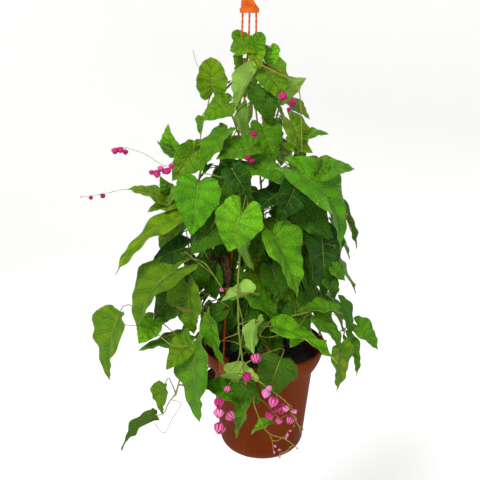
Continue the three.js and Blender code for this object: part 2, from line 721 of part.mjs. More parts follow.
    leaves: [
      leaf([272, 326], [338, 363.5], 116, { wide: 0.22, lobe: 0.03 }),
      leaf([315, 316], [343, 350], 92, { wide: 0.4, lobe: 0.1 }),
      leaf([340, 346], [337, 391], 90, { wide: 0.4, lobe: 0.1 }),
      leaf([333, 309.5], [297, 311], 92, { wide: 0.4 }),
      leaf([358, 326], [378, 350], 46, { wide: 0.58 }),
      leaf([341, 304], [350, 340], 66, { wide: 0.36, bow: 0.08 }),
      leaf([348, 340], [357, 376], 56, { wide: 0.32 }),
      leaf([300, 330], [290, 348], 100, { wide: 0.8 }),
    ],
  },
  {
    name: "vine_back_high",
    stem: [...core(72, 550), ...route([253, 88, -38], [250, 70, -40])],
    leaves: round(31, 9, [20, 165], [430, 650]),
  },
  {
    name: "vine_back_left",
    stem: [...core(138, 350), vec(-70, 62, 400), vec(-86, 74, 430)],
    leaves: round(47, 9, [118, 200], [230, 470]),
  },
  {
    name: "vine_back_right",
    stem: [...core(42, 350), vec(60, 58, 400), vec(72, 68, 440)],
    leaves: round(53, 8, [-12, 75], [230, 470]),
  },
  {
    name: "vine_back_low",
    stem: [...core(98, 215), vec(-4, 78, 226), vec(0, 116, 214), vec(4, 130, 180)],
    leaves: round(61, 8, [20, 160], [110, 290]),
  },
];

// Sprays of flowers

const BUD = 7;

// A flower: the neck, a ring of petal ribs and the clefts between them, a second ring nearer the
// mouth, and the point where the petals meet. An open flower has five petals and a wide mouth.
function bloom(root, neck, axis, size, open) {
  const petals = open ? 5 : 3;
  const small = size < 10;
  const waist = open ? { at: 0.3, out: 0.36, in: 0.22 } : { at: 0.3, out: 0.46, in: 0.2 };
  const mouth = open ? { at: 0.62, out: 0.72, in: 0.3 } : { at: 0.68, out: 0.36, in: 0.15 };
  const reference = Math.abs(axis.z) > 0.9 ? vec(1, 0, 0) : vec(0, 0, 1);
  const across = reference.cross(axis).normalize();
  const ring = ({ at, out, in: cleft }) => Array.from({ length: 2 * petals }, (_, i) => {
    const spoke = across.clone().applyAxisAngle(axis, (i * Math.PI) / petals);
    const reach = (i % 2 ? cleft : out) * size;
    return neck.clone().addScaledVector(axis, at * size).addScaledVector(spoke, reach);
  });
  const points = [root.clone(), ...ring(waist), ...(small ? [] : ring(mouth)),
    neck.clone().addScaledVector(axis, (open ? 0.45 : 1) * size)];
  const around = 2 * petals;
  const last = points.length - 1;
  const faces = [];
  for (let i = 0; i < around; i += 1) {
    const [a, b] = [1 + i, 1 + ((i + 1) % around)];
    if (small) faces.push(0, b, a, a, b, last);
    else faces.push(0, b, a, a, b, b + around, a, b + around, a + around, a + around, b + around, last);
  }
  return closed(points, faces);
}

// Each spray: its stalk and its flowers on the front view, with a size in millimetres for each flower.
const SPRAYS = [
  {
    name: "spray_front_main", vine: "vine_front", near: 140,
    stalk: [[257, 380], [275, 393], [287, 403], [291, 412], [301, 430]],
    blooms: [[268.5, 387, 9], [266, 394, 9], [273, 402, 17], [278.5, 411, 14], [269.5, 416, 10],
      [279, 421, 9], [286, 408, 10], [295, 412, 8], [290, 420, 9], [300, 429, 6]],
  },
  {
    name: "spray_front_low", vine: "vine_front", near: 134,
    stalk: [[254, 404], [262, 424], [270, 434], [285, 439], [297, 448]],
    blooms: [[287.5, 432, 8], [274, 445, 8], [280, 449, 7], [297, 448, 5]],
  },
  {
    name: "spray_front_left", vine: "vine_front", near: 142,
    stalk: [[238, 374], [226, 388], [219.5, 400], [218.5, 410], [221, 425]],
    blooms: [[227.5, 387, 9], [219.5, 399.5, 12], [218.5, 410, 12], [230.5, 416, 10], [220, 424.5, 11]],
  },
  {
    name: "spray_front_top", vine: "vine_front", near: 134,
    stalk: [[247, 352], [255, 355]],
    blooms: [[255.5, 355.5, 11]],
  },
  {
    name: "spray_left_high", vine: "vine_left_high", near: 48,
    stalk: [[166, 166], [145, 154], [124, 147.5], [115, 149]],
    blooms: [[115, 149.5, 9], [120.5, 149, 8], [125.5, 152.5, 8]],
  },
  {
    name: "spray_left_cluster", vine: "vine_left_high", near: 88,
    stalk: [[178, 170], [167, 169], [152, 171]],
    blooms: [[151.5, 171.5, 9], [157, 174.5, 10], [161, 168, 9], [167, 169.5, 8], [171, 165.5, 8]],
  },
  {
    name: "spray_left_low", vine: "vine_left_high", near: 66,
    stalk: [[154, 193], [127, 189.5], [103, 194], [82, 197]],
    blooms: [[91, 197.5, 9], [103, 195, 9], [81, 197, 4]],
  },
  {
    name: "spray_right_top", vine: "vine_top", near: 36,
    stalk: [[281, 88], [287, 97], [290, 109]],
    blooms: [[283.5, 95, 12], [292, 101.5, 10], [289, 109, 8]],
  },
  {
    name: "spray_centre", vine: "vine_centre", near: 78,
    stalk: [[250, 130], [252, 146], [249, 160]],
    blooms: [[252.5, 132.5, 9], [248, 157, 9], [252, 161, 8]],
  },
  {
    name: "spray_right", vine: "vine_right_high", near: 58,
    stalk: [[339, 206], [346, 214], [350, 229]],
    blooms: [[346.5, 214, 6], [350.5, 228, 6]],
  },
];

const SPRAY_STARTS = [1.5, 1.9, 2.3, 2.7, 3.1, 3.6];
const SPRAY_SHIFTS = [0, 5, 10, -5, 15, 20, -10, 28, 36];
const WOOD_TRIED = 8;

// A spray that starts beside the given wood. Each flower hangs from the nearest point of the stalk, with
// its neck at least NECK below it.
function sprayFrom(from, { near, stalk, blooms }, by, start) {
  const places = stalk.map(([u, v]) => seen(u, v, near + by));
  const away = places[0].clone().sub(from).normalize();
  const line = [from.clone().addScaledVector(away, start), ...places];
  const steps = 3 * line.length;
  const along = alongTube(line, steps);
  const solids = [tube(line, STALK_RADIUS, 3, steps)];
  blooms.forEach(([u, v, size], i) => {
    const place = seen(u, v, near + by + 3);
    const root = nearest(along.slice(4), place);
    const axis = place.clone().sub(root).setLength(2).add(vec(0, -1, -2)).normalize();
    const neck = place.clone().addScaledVector(axis, -0.4 * size);
    const below = neck.clone().sub(root).dot(axis);
    neck.addScaledVector(axis, Math.max(NECK - below, 0));
    solids.push(bloom(root, neck, axis, size, size > 13));
  });
  return largest(join(solids));
}

// A spray starts beside the wood nearest to its foot that leaves it clear of everything.
function makeSpray(spray, wood, standing) {
  const foot = seen(...spray.stalk[0], spray.near);
  const near = wood.toSorted((a, b) => a.distanceTo(foot) - b.distanceTo(foot)).slice(0, WOOD_TRIED);
  for (const shift of SPRAY_SHIFTS) {
    for (const from of near) {
      for (const start of SPRAY_STARTS) {
        const made = sprayFrom(from, spray, shift, start);
        if (!meets(made, standing)) return made;
      }
    }
  }
  throw new Error(`${spray.name} has no clear place`);
}

const group = new THREE.Group();
group.position.set(-HUB.x, 0, -(hookCentreHeight() + HOOK.inner));

// Adds a named mesh to the group.
function put(name, made, color, roughness) {
  const { vertProperties, triVerts } = made.getMesh();
  const geometry = new THREE.BufferGeometry();
  geometry.setAttribute("position", new THREE.BufferAttribute(vertProperties, 3));
  geometry.setIndex(new THREE.BufferAttribute(triVerts, 1));
  geometry.computeVertexNormals();
  const material = new THREE.MeshStandardMaterial({ color, roughness, metalness: 0 });
  const mesh = new THREE.Mesh(geometry, material);
  mesh.name = name;
  group.add(mesh);
}

const pot = makePot();
const hub = makeHub();
const standing = [pot, hub];
put("pot", pot, COLOURS.pot, 0.45);
put("hanger_hub", hub, COLOURS.hanger, 0.4);

for (const [name, form] of Object.entries(STRANDS)) {
  const strand = makeStrand(form);
  standing.push(strand);
  put(name, strand, COLOURS.hanger, 0.4);
}

const woods = {};
const rooms = [];
let order = 1;
for (const form of VINES) {
  const { made, wood, room } = makeVine(form, standing, order);
  order += form.leaves.length;
  woods[form.name] = wood;
  rooms.push(room);
  standing.push(made);
  put(form.name, made, COLOURS.leaf, 0.55);
}

const soil = makeSoil().subtract(join(rooms));
standing.push(soil);
put("soil", soil, COLOURS.soil, 0.95);

for (const form of SPRAYS) {
  const spray = makeSpray(form, woods[form.vine], standing);
  standing.push(spray);
  put(form.name, spray, COLOURS.bloom, 0.5);
}

export default group;
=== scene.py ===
"""A coral vine grown up its hanger, in a moulded plastic pot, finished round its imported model.

Places of the plant and the pot are written in millimetres on the pot's own axis, from its underside
up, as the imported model's source has them. to_frame() turns them to metres in the model's frame.
"""

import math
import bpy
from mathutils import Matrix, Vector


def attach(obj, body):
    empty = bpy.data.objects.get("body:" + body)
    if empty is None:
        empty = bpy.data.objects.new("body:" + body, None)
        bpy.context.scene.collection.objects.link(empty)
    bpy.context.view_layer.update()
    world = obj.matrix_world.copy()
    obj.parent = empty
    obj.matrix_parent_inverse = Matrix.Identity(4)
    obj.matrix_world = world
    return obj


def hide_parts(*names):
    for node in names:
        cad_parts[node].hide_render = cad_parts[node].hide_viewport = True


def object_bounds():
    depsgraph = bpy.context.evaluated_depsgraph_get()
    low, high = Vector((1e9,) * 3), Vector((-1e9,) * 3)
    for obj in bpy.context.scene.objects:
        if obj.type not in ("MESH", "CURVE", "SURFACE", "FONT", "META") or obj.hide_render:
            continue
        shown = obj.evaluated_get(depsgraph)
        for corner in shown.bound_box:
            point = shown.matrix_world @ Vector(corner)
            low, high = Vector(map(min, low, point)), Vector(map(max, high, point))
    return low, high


bl_info = {
    "name": "Potted Coral Vine",
    "version": (1, 0, 0),
    "blender": (4, 5, 0),
    "location": "View3D > Sidebar > Coral Vine",
    "description": "A flowering coral vine that climbs the three strands of its hanging pot",
    "category": "Add Mesh",
}

from functools import partial
from types import SimpleNamespace

import bmesh
import bpy
import numpy as np
from mathutils import Matrix, Vector, noise

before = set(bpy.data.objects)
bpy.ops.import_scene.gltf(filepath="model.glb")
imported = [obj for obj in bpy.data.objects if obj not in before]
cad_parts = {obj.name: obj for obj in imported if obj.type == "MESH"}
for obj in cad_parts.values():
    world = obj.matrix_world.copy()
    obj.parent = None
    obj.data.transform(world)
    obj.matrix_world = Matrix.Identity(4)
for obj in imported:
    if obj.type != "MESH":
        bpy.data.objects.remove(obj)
CAD_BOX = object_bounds()

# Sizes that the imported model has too, in millimetres
MM = 0.001
POT_HEIGHT = 190
RIM_RADIUS = 100
LIP_HEIGHT = 35
LIP_FOOT_RADIUS = 89
WALL_TOP_RADIUS = 83
WALL_FOOT_RADIUS = 69
CORNER_RADIUS = 25
WALL = 2.4
FLOOR = 3
FOOT_RING = {"inner": 34, "outer": 45, "notches": 6, "notch_width": 13}
DRAIN = {"count": 4, "radius": 5, "ring": 22}
SOIL_TOP = 168
HUB = {"x": -22.5, "bottom": 704, "width": 24, "depth": 5, "bar": (28, 9, 7)}
HOOK = {"inner": 12, "bar": 5.5, "depth": 6, "shank": 20, "from": -100, "to": -325}
HOOK_CENTRE = HUB["bottom"] + HUB["bar"][2] + 20 + HOOK["shank"] + HOOK["inner"]
STRAND_RADIUS = 1.6
STRAND_TOPS = [HUB["x"] - 9.8, HUB["x"], HUB["x"] + 9.8]
CLIP = (11, 12, 22)
STEM_STEP = 32
TRUE_WIDE = 0.86
MOST_TURN = math.radians(56)
PETIOLE_LENGTH = 16
BLOOM_NECK = 1.5
CORE_LEAN = HUB["x"] / (HUB["bottom"] - POT_HEIGHT)
CORE_STEP = 34
SHIFTS = [0, 8, -8, 16, -16, 24, -24, 32, -32, 40, -40]
SPRAY_SHIFTS = [0, 5, 10, -5, 15, 20, -10, 28, 36]
SMALLER_ABOVE = 520
SPREAD = [(60, 128), (190, 165), (330, 150), (430, 135), (500, 115), (560, 80), (620, 55), (700, 20)]
BLADE_EDGE = [(-0.9, 0.28), (-0.72, 0.72), (0.1, 1), (0.45, 0.83), (0.76, 0.4)]
BLUNT_EDGE = [(-0.9, 0.3), (-0.7, 0.76), (0.15, 1), (0.58, 0.9), (0.88, 0.52)]
ORIGIN = np.array([-HUB["x"], 0, -(HOOK_CENTRE + HOOK["inner"])])

# The front view that places of leaves and sprays are read from, on a 480 by 480 grid, u to the
# right and v down. A third number, near, is how far in front of the pot's axis the place lies.
IMAGE = 480
SENSOR = 36
FOCAL = 808
EYE = np.array([-36.0, -1200.0, 750.0])
PITCH = math.radians(17.9)

# Finish of the blades: steps along half a blade for a leaf that shows and for an inner one, steps
# across it, and veins on each side of the rib. A stem has fine ribs round it.
ALONG = {"outer": 40, "inner": 20}
ACROSS = np.array([0, 0.06, 0.2, 0.36, 0.53, 0.7, 0.86, 1])
VEINS = 7
STEM_RIBS = 6

# Places of the finishes among the materials of a vine, and of a spray
UPPER, UNDER, STEM, DEAD = range(4)
TEPAL, STALK = range(2)

# First seed of each kind of drawn part. Packed leaves and flowers take theirs from 1 up.
SEEDS = {"inner": 300, "tendril": 700, "crumbs": 901, "inner_leaf": 1000, "extra_leaf": 2000}

# How far out the soil's level top goes, and how deep its lumps reach
LEVEL_RADIUS = 80
LUMP_DEPTH = 9

# The studio in metres: how far its floor lies under the pot, how far out it goes, the radius of the
# bend and the height of the wall. Each light has its place and size, and its power in watts.
COVE = {"drop": 0.5, "floor": 2.6, "bend": 1.2, "wall": 2.4}
LIGHTS = {
    "key_light": ((-1.1, -2.1, 1.9), 1.0, 114),
    "fill_light": ((2.2, -1.6, 0.5), 1.8, 5),
    "top_light": ((0.3, 0.6, 2.4), 1.5, 40),
    "back_light": ((0.9, 2.4, 1.0), 1.6, 24),
}


def to_frame(places):
    """The plant's millimetres as metres in the model's frame."""
    return (np.asarray(places, float) + ORIGIN) * MM


def vec(*numbers):
    return np.array(numbers, float)


def unit(direction):
    return direction / np.linalg.norm(direction)


def rotated(direction, axis, angle):
    """The direction turned about a unit axis."""
    return (
        direction * math.cos(angle)
        + np.cross(axis, direction) * math.sin(angle)
        + axis * np.dot(axis, direction) * (1 - math.cos(angle))
    )


def seen(u, v, near):
    """The place seen at u, v on the front view, near millimetres in front of the pot's axis."""
    right, up = (u - IMAGE / 2) / FOCAL, (IMAGE / 2 - v) / FOCAL
    sight = vec(
        right,
        math.cos(PITCH) + up * math.sin(PITCH),
        -math.sin(PITCH) + up * math.cos(PITCH),
    )
    return EYE + sight * (-EYE[1] - near) / sight[1]


def route(*places):
    return [seen(*place) for place in places]


def draws(seed):
    """A seeded draw of numbers from 0 to 1, the same on every run."""
    state = (seed * 7919 + 17) % 2147483647

    def draw():
        nonlocal state
        state = state * 16807 % 2147483647
        return state / 2147483647

    return draw


def curve(points, at):
    """Places at shares of a smooth curve through the points."""
    points = np.asarray(points, float)
    padded = np.vstack([2 * points[0] - points[1], points, 2 * points[-1] - points[-2]])
    place = np.clip(at, 0, 1) * (len(points) - 1)
    first = np.minimum(place.astype(int), len(points) - 2)
    share = (place - first)[:, None]
    a, b, c, d = (padded[first + i] for i in range(4))
    leave, reach = (c - a) / 2, (d - b) / 2
    return (
        b
        + leave * share
        + (3 * c - 3 * b - 2 * leave - reach) * share**2
        + (2 * b - 2 * c + leave + reach) * share**3
    )


def run_of(points):
    """Shares of the curve through the points, and how far along it each of them lies."""
    at = np.linspace(0, 1, 201)
    gaps = np.linalg.norm(np.diff(curve(points, at), axis=0), axis=1)
    return at, np.concatenate([[0], np.cumsum(gaps)])


def spaced(points, steps):
    """Places evenly spaced along a smooth curve through the points."""
    at, run = run_of(points)
    return curve(points, np.interp(np.linspace(0, run[-1], steps + 1), run, at))


def length_of(points):
    return run_of(points)[1][-1]


def nearest(points, place):
    points = np.asarray(points)
    return points[np.argmin(np.linalg.norm(points - place, axis=1))]


def spread(height):
    """How far the leaves spread from the middle line at each height."""
    return float(np.interp(height, *zip(*SPREAD)))


def middle_line(height):
    """The line that the plant leans along, from the pot's axis to the hub, as x at a height."""
    return CORE_LEAN * max(height - POT_HEIGHT, 0)


# Meshes


class Book:
    """Gathers the corners and faces of one piece, with their plan places, tones and materials."""

    def __init__(self):
        self.corners, self.places, self.tones = [], [], []
        self.faces, self.kinds = [], []
        self.count = 0

    def add(self, corners, faces, kinds, places=None, tone=(0.5, 0.5, 0.5)):
        corners = np.asarray(corners, float).reshape(-1, 3)
        if places is None:
            places = np.zeros((len(corners), 2))
        self.corners.append(corners)
        self.places.append(np.asarray(places, float).reshape(-1, 2))
        self.tones.append(np.tile([*tone, 1.0], (len(corners), 1)))
        self.faces.extend(tuple(i + self.count for i in face) for face in faces)
        self.kinds.extend([kinds] * len(faces) if isinstance(kinds, int) else kinds)
        self.count += len(corners)

    def piece(self, name, materials, sharp=50):
        mesh = bpy.data.meshes.new(name)
        mesh.from_pydata(to_frame(np.concatenate(self.corners)).tolist(), [], self.faces)
        corner_of = np.empty(len(mesh.loops), int)
        mesh.loops.foreach_get("vertex_index", corner_of)
        plan = mesh.uv_layers.new(name="plan")
        plan.data.foreach_set("uv", np.concatenate(self.places)[corner_of].ravel())
        tone = mesh.attributes.new("tone", "FLOAT_COLOR", "POINT")
        tone.data.foreach_set("color", np.concatenate(self.tones).ravel())
        mesh.polygons.foreach_set("material_index", self.kinds)
        smoothed(mesh, sharp)
        for material in materials:
            mesh.materials.append(material)
        made = bpy.data.objects.new(name, mesh)
        bpy.context.scene.collection.objects.link(made)
        return made


def smoothed(mesh, sharp=None):
    """Shades the mesh smooth, apart from edges that turn by more than this many degrees."""
    mesh.polygons.foreach_set("use_smooth", [True] * len(mesh.polygons))
    if sharp:
        mesh.set_sharp_from_angle(angle=math.radians(sharp))


def circle(sides):
    """Turns of the corners round one ring."""
    return np.arange(sides) * 2 * math.pi / sides


def ring_faces(rings, sides, first=0, closed=False):
    """Faces between rings of corners, and from the last ring to the first one if closed."""
    count = rings * sides
    faces = []
    for ring in range(rings if closed else rings - 1):
        for i in range(sides):
            a, b = ring * sides + i, ring * sides + (i + 1) % sides
            faces.append(tuple(first + c % count for c in (a, b, b + sides, a + sides)))
    return faces


def knots(at, swell, power):
    """How much thicker a stem is where it has a knot, once for each whole turn of at."""
    return 1 + swell * np.maximum(np.cos(at), 0) ** power


def tube(book, places, radii, kind, sides=6, tone=(0.5, 0.5, 0.5)):
    """A closed tube along the places, whose rings turn as little as they can from each other."""
    places = np.asarray(places, float)
    radii = np.broadcast_to(radii, len(places))
    headings = np.gradient(places, axis=0)
    headings /= np.linalg.norm(headings, axis=1)[:, None]
    up = np.cross(headings[0], vec(0.3, 0.9, 0.2))
    turns = circle(sides)
    rings = []
    for place, heading, radius in zip(places, headings, radii):
        up = unit(up - heading * np.dot(up, heading))
        out = np.cross(heading, up)
        rings.append(place + radius * (np.outer(np.cos(turns), up) + np.outer(np.sin(turns), out)))
    faces = ring_faces(len(places), sides)
    last = (len(places) - 1) * sides
    faces.append(tuple(reversed(range(sides))))
    faces.append(tuple(last + i for i in range(sides)))
    run = np.concatenate([[0], np.cumsum(np.linalg.norm(np.diff(places, axis=0), axis=1))])
    plan = [(distance, i / sides) for distance in run for i in range(sides)]
    book.add(np.concatenate(rings), faces, kind, plan, tone)


# Leaves


def leaf(
    base, tip, near, tone="mid", wide=0.8, lobe=0.26, under=False, blunt=False, lean=None, roll=0,
    bow=0):
    """A leaf on the front view, with the width that it shows there as a share of its length."""
    return SimpleNamespace(
        base=base, tip=tip, near=near, tone=tone, wide=wide, lobe=lobe, under=under, blunt=blunt,
        lean=lean, roll=roll, bow=bow, out=None,
    )


def turned(top, along, base, wide):
    """A leaf that shows narrower than a blade is wide is turned about its rib."""
    angle = min(math.acos(min(wide / TRUE_WIDE, 1)), MOST_TURN)
    wanted = unit(vec(base[0] - middle_line(base[2]), base[1], 0)) + vec(0, 0, 0.8)
    one, other = rotated(top, along, angle), rotated(top, along, -angle)
    better = one if np.dot(one, wanted) > np.dot(other, wanted) else other
    return better, wide / math.cos(angle)


def laid_out(one, shift, order):
    """The blade's own frame and form, drawn from the leaf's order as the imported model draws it."""
    draw = draws(order)
    if one.out is not None:
        turn = math.radians(one.around)
        outward = vec(math.cos(turn), math.sin(turn), 0)
        beside = vec(-math.sin(turn), math.cos(turn), 0)
        base = outward * (one.out + shift) + vec(one.middle, 0, one.height)
        tip = base + one.length * (outward * one.reach + beside * one.sway - vec(0, 0, one.drop))
        faces = outward + vec(0, 0, 0.5)
    else:
        base = seen(*one.base, one.near + shift)
        tip = seen(*one.tip, one.near + shift)
        lean = one.lean
        if lean is None:
            lean = (0.45 * draw() - 0.1) * np.linalg.norm(base - tip)
        tip = seen(*one.tip, one.near + shift + lean)
        faces = EYE - base
    length = np.linalg.norm(tip - base)
    along = (tip - base) / length
    top = unit(faces - along * np.dot(faces, along))
    if one.under:
        top = -top
    wide = one.wide
    if one.out is None:
        top, wide = turned(top, along, base, wide)
    top = rotated(top, along, math.radians(one.roll))
    return SimpleNamespace(
        base=base, tip=tip, along=along, top=top, across=np.cross(top, along), length=length,
        half=wide * length / 2, lobe=one.lobe, edge=BLUNT_EDGE if one.blunt else BLADE_EDGE,
        bow=one.bow, fold=math.radians(6 + 14 * draw()),
        arch=0.03 + 0.06 * draw(), wave=0.05 + 0.05 * draw(), phase=6.28 * draw(), seed=draw(),
    )


def on_blade(form, s, t, side, lift):
    """Places on the blade: s along the rib and t out from it, lifted off the blade's upper face."""
    away = t * form.half
    bowed = form.bow * form.length * 4 * s * (1 - s)
    rise = (
        away * math.sin(form.fold)
        + form.arch * form.length * 4 * s * (1 - s)
        + form.wave * form.half * np.sin(form.phase + 7 * s + 1.3 * side) * t**2
        + lift
    )
    return (
        form.base
        + (s * form.length)[..., None] * form.along
        + (side * away * math.cos(form.fold) + bowed)[..., None] * form.across
        + rise[..., None] * form.top
    )


def half_plan(form, steps):
    """Plan of half a blade, as s and t at each step along and across it. Lines across it run from
    the rib to the edge the way that the side veins do."""
    outline = [(0, 0), *((s * form.lobe if s < 0 else s, t) for s, t in form.edge), (1, 0)]
    edge = spaced(outline, steps)
    rib = np.linspace(0, 1, steps + 1) ** 2.6
    s = rib[:, None] * (1 - ACROSS) + edge[:, :1] * ACROSS
    t = edge[:, 1:] * ACROSS
    return s, np.maximum(t, 0)


def blade_faces(steps):
    """Faces of a blade: the rib's corners, then each side's, first of the upper face and then of
    the lower, whose edges are joined by a thin rim."""
    wide = len(ACROSS) - 1
    rows = steps - 1
    sheet = rows * (1 + 2 * wide)
    tips = 2 * sheet

    def corner(face, side, row, step):
        if row in (0, steps):
            return tips + (row == steps) + 2 * face
        at = face * sheet + (row - 1) * (1 + 2 * wide)
        return at if step == 0 else at + step + (wide if side < 0 else 0)

    faces, kinds = [], []

    def put(loop, flip, kind):
        loop = [c for i, c in enumerate(loop) if c not in loop[:i]]
        faces.append(tuple(reversed(loop)) if flip else tuple(loop))
        kinds.append(kind)

    for face in (UPPER, UNDER):
        for side in (1, -1):
            for row in range(steps):
                for step in range(wide):
                    loop = [
                        corner(face, side, row, step), corner(face, side, row, step + 1),
                        corner(face, side, row + 1, step + 1), corner(face, side, row + 1, step),
                    ]
                    put(loop, (side > 0) == (face == UNDER), face)
    for side in (1, -1):
        for row in range(steps):
            loop = [
                corner(UPPER, side, row, wide), corner(UNDER, side, row, wide),
                corner(UNDER, side, row + 1, wide), corner(UPPER, side, row + 1, wide),
            ]
            put(loop, side < 0, UNDER)
    return faces, kinds


BLADE_FACES = {grade: blade_faces(steps) for grade, steps in ALONG.items()}


def blade(book, form, tone, sizes, grade="outer", dead=False):
    """One leaf's blade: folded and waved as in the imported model, quilted between its veins, with a
    crinkled edge. A dead leaf has its own finish."""
    steps = ALONG[grade]
    s, t = half_plan(form, steps)
    u = np.linspace(0, 1, steps + 1)[:, None] * np.ones(len(ACROSS))
    v = np.ones((steps + 1, 1)) * ACROSS
    upper, lower, plans = [], [], []
    for side in (1, -1):
        turn = form.phase + 1.7 * side
        # Pillows between the side veins, small puckers across them, and the wave and nicks of the edge
        quilt = np.abs(np.sin(math.pi * VEINS * u)) ** 0.6 * v**0.5 * (1 - v**4) * (1 - u**5)
        cross = np.sin(34 * v + 9 * u + turn) * np.sin(3.5 * math.pi * VEINS * u + turn) * v * (1 - v**4)
        wave = np.sin(17 * u + turn) + 0.7 * np.sin(37 * u + 3 * turn)
        crinkle = np.sin(23 * u + 2 * turn) + 0.8 * np.sin(51 * u + 5 * turn)
        ends = np.sin(math.pi * u) ** 0.5
        lift = form.length * (
            sizes.quilting * (quilt + 0.3 * cross) + sizes.edge_wave * wave * v**2.5 * ends)
        lift -= sizes.rib_depth / MM * np.exp(-((v / 0.09) ** 2))
        reach = t * (1 + sizes.edge_nicks * crinkle * ends * v**3)
        top = on_blade(form, s, reach, side, lift)
        ridge = 0.5 * np.exp(-((v / 0.03) ** 2)) + 0.2 * np.exp(-((v / 0.12) ** 2))
        thick = sizes.blade_thickness / MM * (1 - 0.45 * v**4) + ridge * (1 - 0.7 * u)
        upper.append(top)
        lower.append(top - thick[..., None] * form.top)
        plans.append(np.stack([u, 0.5 + 0.5 * side * v], axis=-1))
    rows = slice(1, steps)

    def gathered(parts):
        right, left = parts
        return np.concatenate([right[rows], left[rows, 1:]], axis=1).reshape(-1, parts[0].shape[-1])

    ends = [upper[0][0, 0], upper[0][-1, 0], lower[0][0, 0], lower[0][-1, 0]]
    plan = gathered(plans)
    corners = np.concatenate([gathered(upper), gathered(lower), ends])
    places = np.concatenate([plan, plan, [(0, 0.5), (1, 0.5), (0, 0.5), (1, 0.5)]])
    faces, kinds = BLADE_FACES[grade]
    book.add(corners, faces, DEAD if dead else kinds, places, tone)


def leaf_on_wood(one, shift, order, wood):
    """A leaf's form and the thin branch that joins it to the nearest wood."""
    form = laid_out(one, shift, order)
    start = nearest(wood, form.base)
    reach = np.linalg.norm(form.base - start)
    pull = min(PETIOLE_LENGTH, 0.45 * reach)
    joint = form.base - 0.75 * pull * form.along - 0.6 * pull * form.top
    middle = (start + joint) / 2 + vec(0, 0, 0.08 * reach)
    path = spaced([start, middle, joint], 2 + min(round(reach / 50), 2))
    return form, path


def round_leaves(seed, count, around, heights, share=(0.5, 0.42), sizes=(38, 40), tone=None):
    """Leaves round a stretch of the vine, further from its middle line the lower they are."""
    draw = draws(seed)
    leaves = []
    for i in range(count):
        height = heights[0] + (heights[1] - heights[0]) * (i + draw()) / count
        leaves.append(SimpleNamespace(
            height=height, middle=middle_line(height) * 0.8,
            around=around[0] + (around[1] - around[0]) * draw(),
            out=spread(height) * (share[0] + share[1] * draw()),
            length=(sizes[0] + sizes[1] * draw()) * (0.7 if height > SMALLER_ABOVE else 1),
            reach=0.2 + 0.35 * draw(), sway=-0.5 + draw(), drop=0.5 + 0.4 * draw(),
            wide=0.75 + 0.25 * draw(), lobe=0.26, roll=30 * (draw() - 0.5), under=False,
            blunt=False, bow=0, tone=tone,
        ))
    return leaves


def core(side, top):
    """A stem's way up between the strands, on its own side of the middle line, to a height."""
    places = []
    height = SOIL_TOP - 18
    while height < top:
        share = min(max((height - POT_HEIGHT) / (HUB["bottom"] - POT_HEIGHT), 0), 1)
        wind = math.sin((height - SOIL_TOP) / 52) * max(0, 1 - share / 0.5)
        turn = math.radians(side + 16 * wind)
        radius = 36 - 18 * share**0.7 + 1.5 * math.sin(height / 23 + side)
        places.append(vec(
            middle_line(height) + radius * math.cos(turn), radius * math.sin(turn), height,
        ))
        height += CORE_STEP
    return places


# Light and yellow in each tone of leaf. The light share is partly the leaf's own tone and partly painted
# light and shade: leaves that lie in shade on the front view take the dark, deep and dim tones, and
# top-lit ones the bright tone.
TONES = {
    "bright": (0.95, 0.2), "mid": (0.55, 0.25), "dark": (0.2, 0.12), "deep": (0.0, 0.0),
    "olive": (0.75, 0.85), "cool": (0.75, 0.0), "pale": (1.0, 0.2), "withered": (0.35, 0.95),
    "dim": (0.0, 0.25), "rough": (0.6, 0.5), "moss": (0.35, 0.6), "dead": (0.3, 0.9),
}

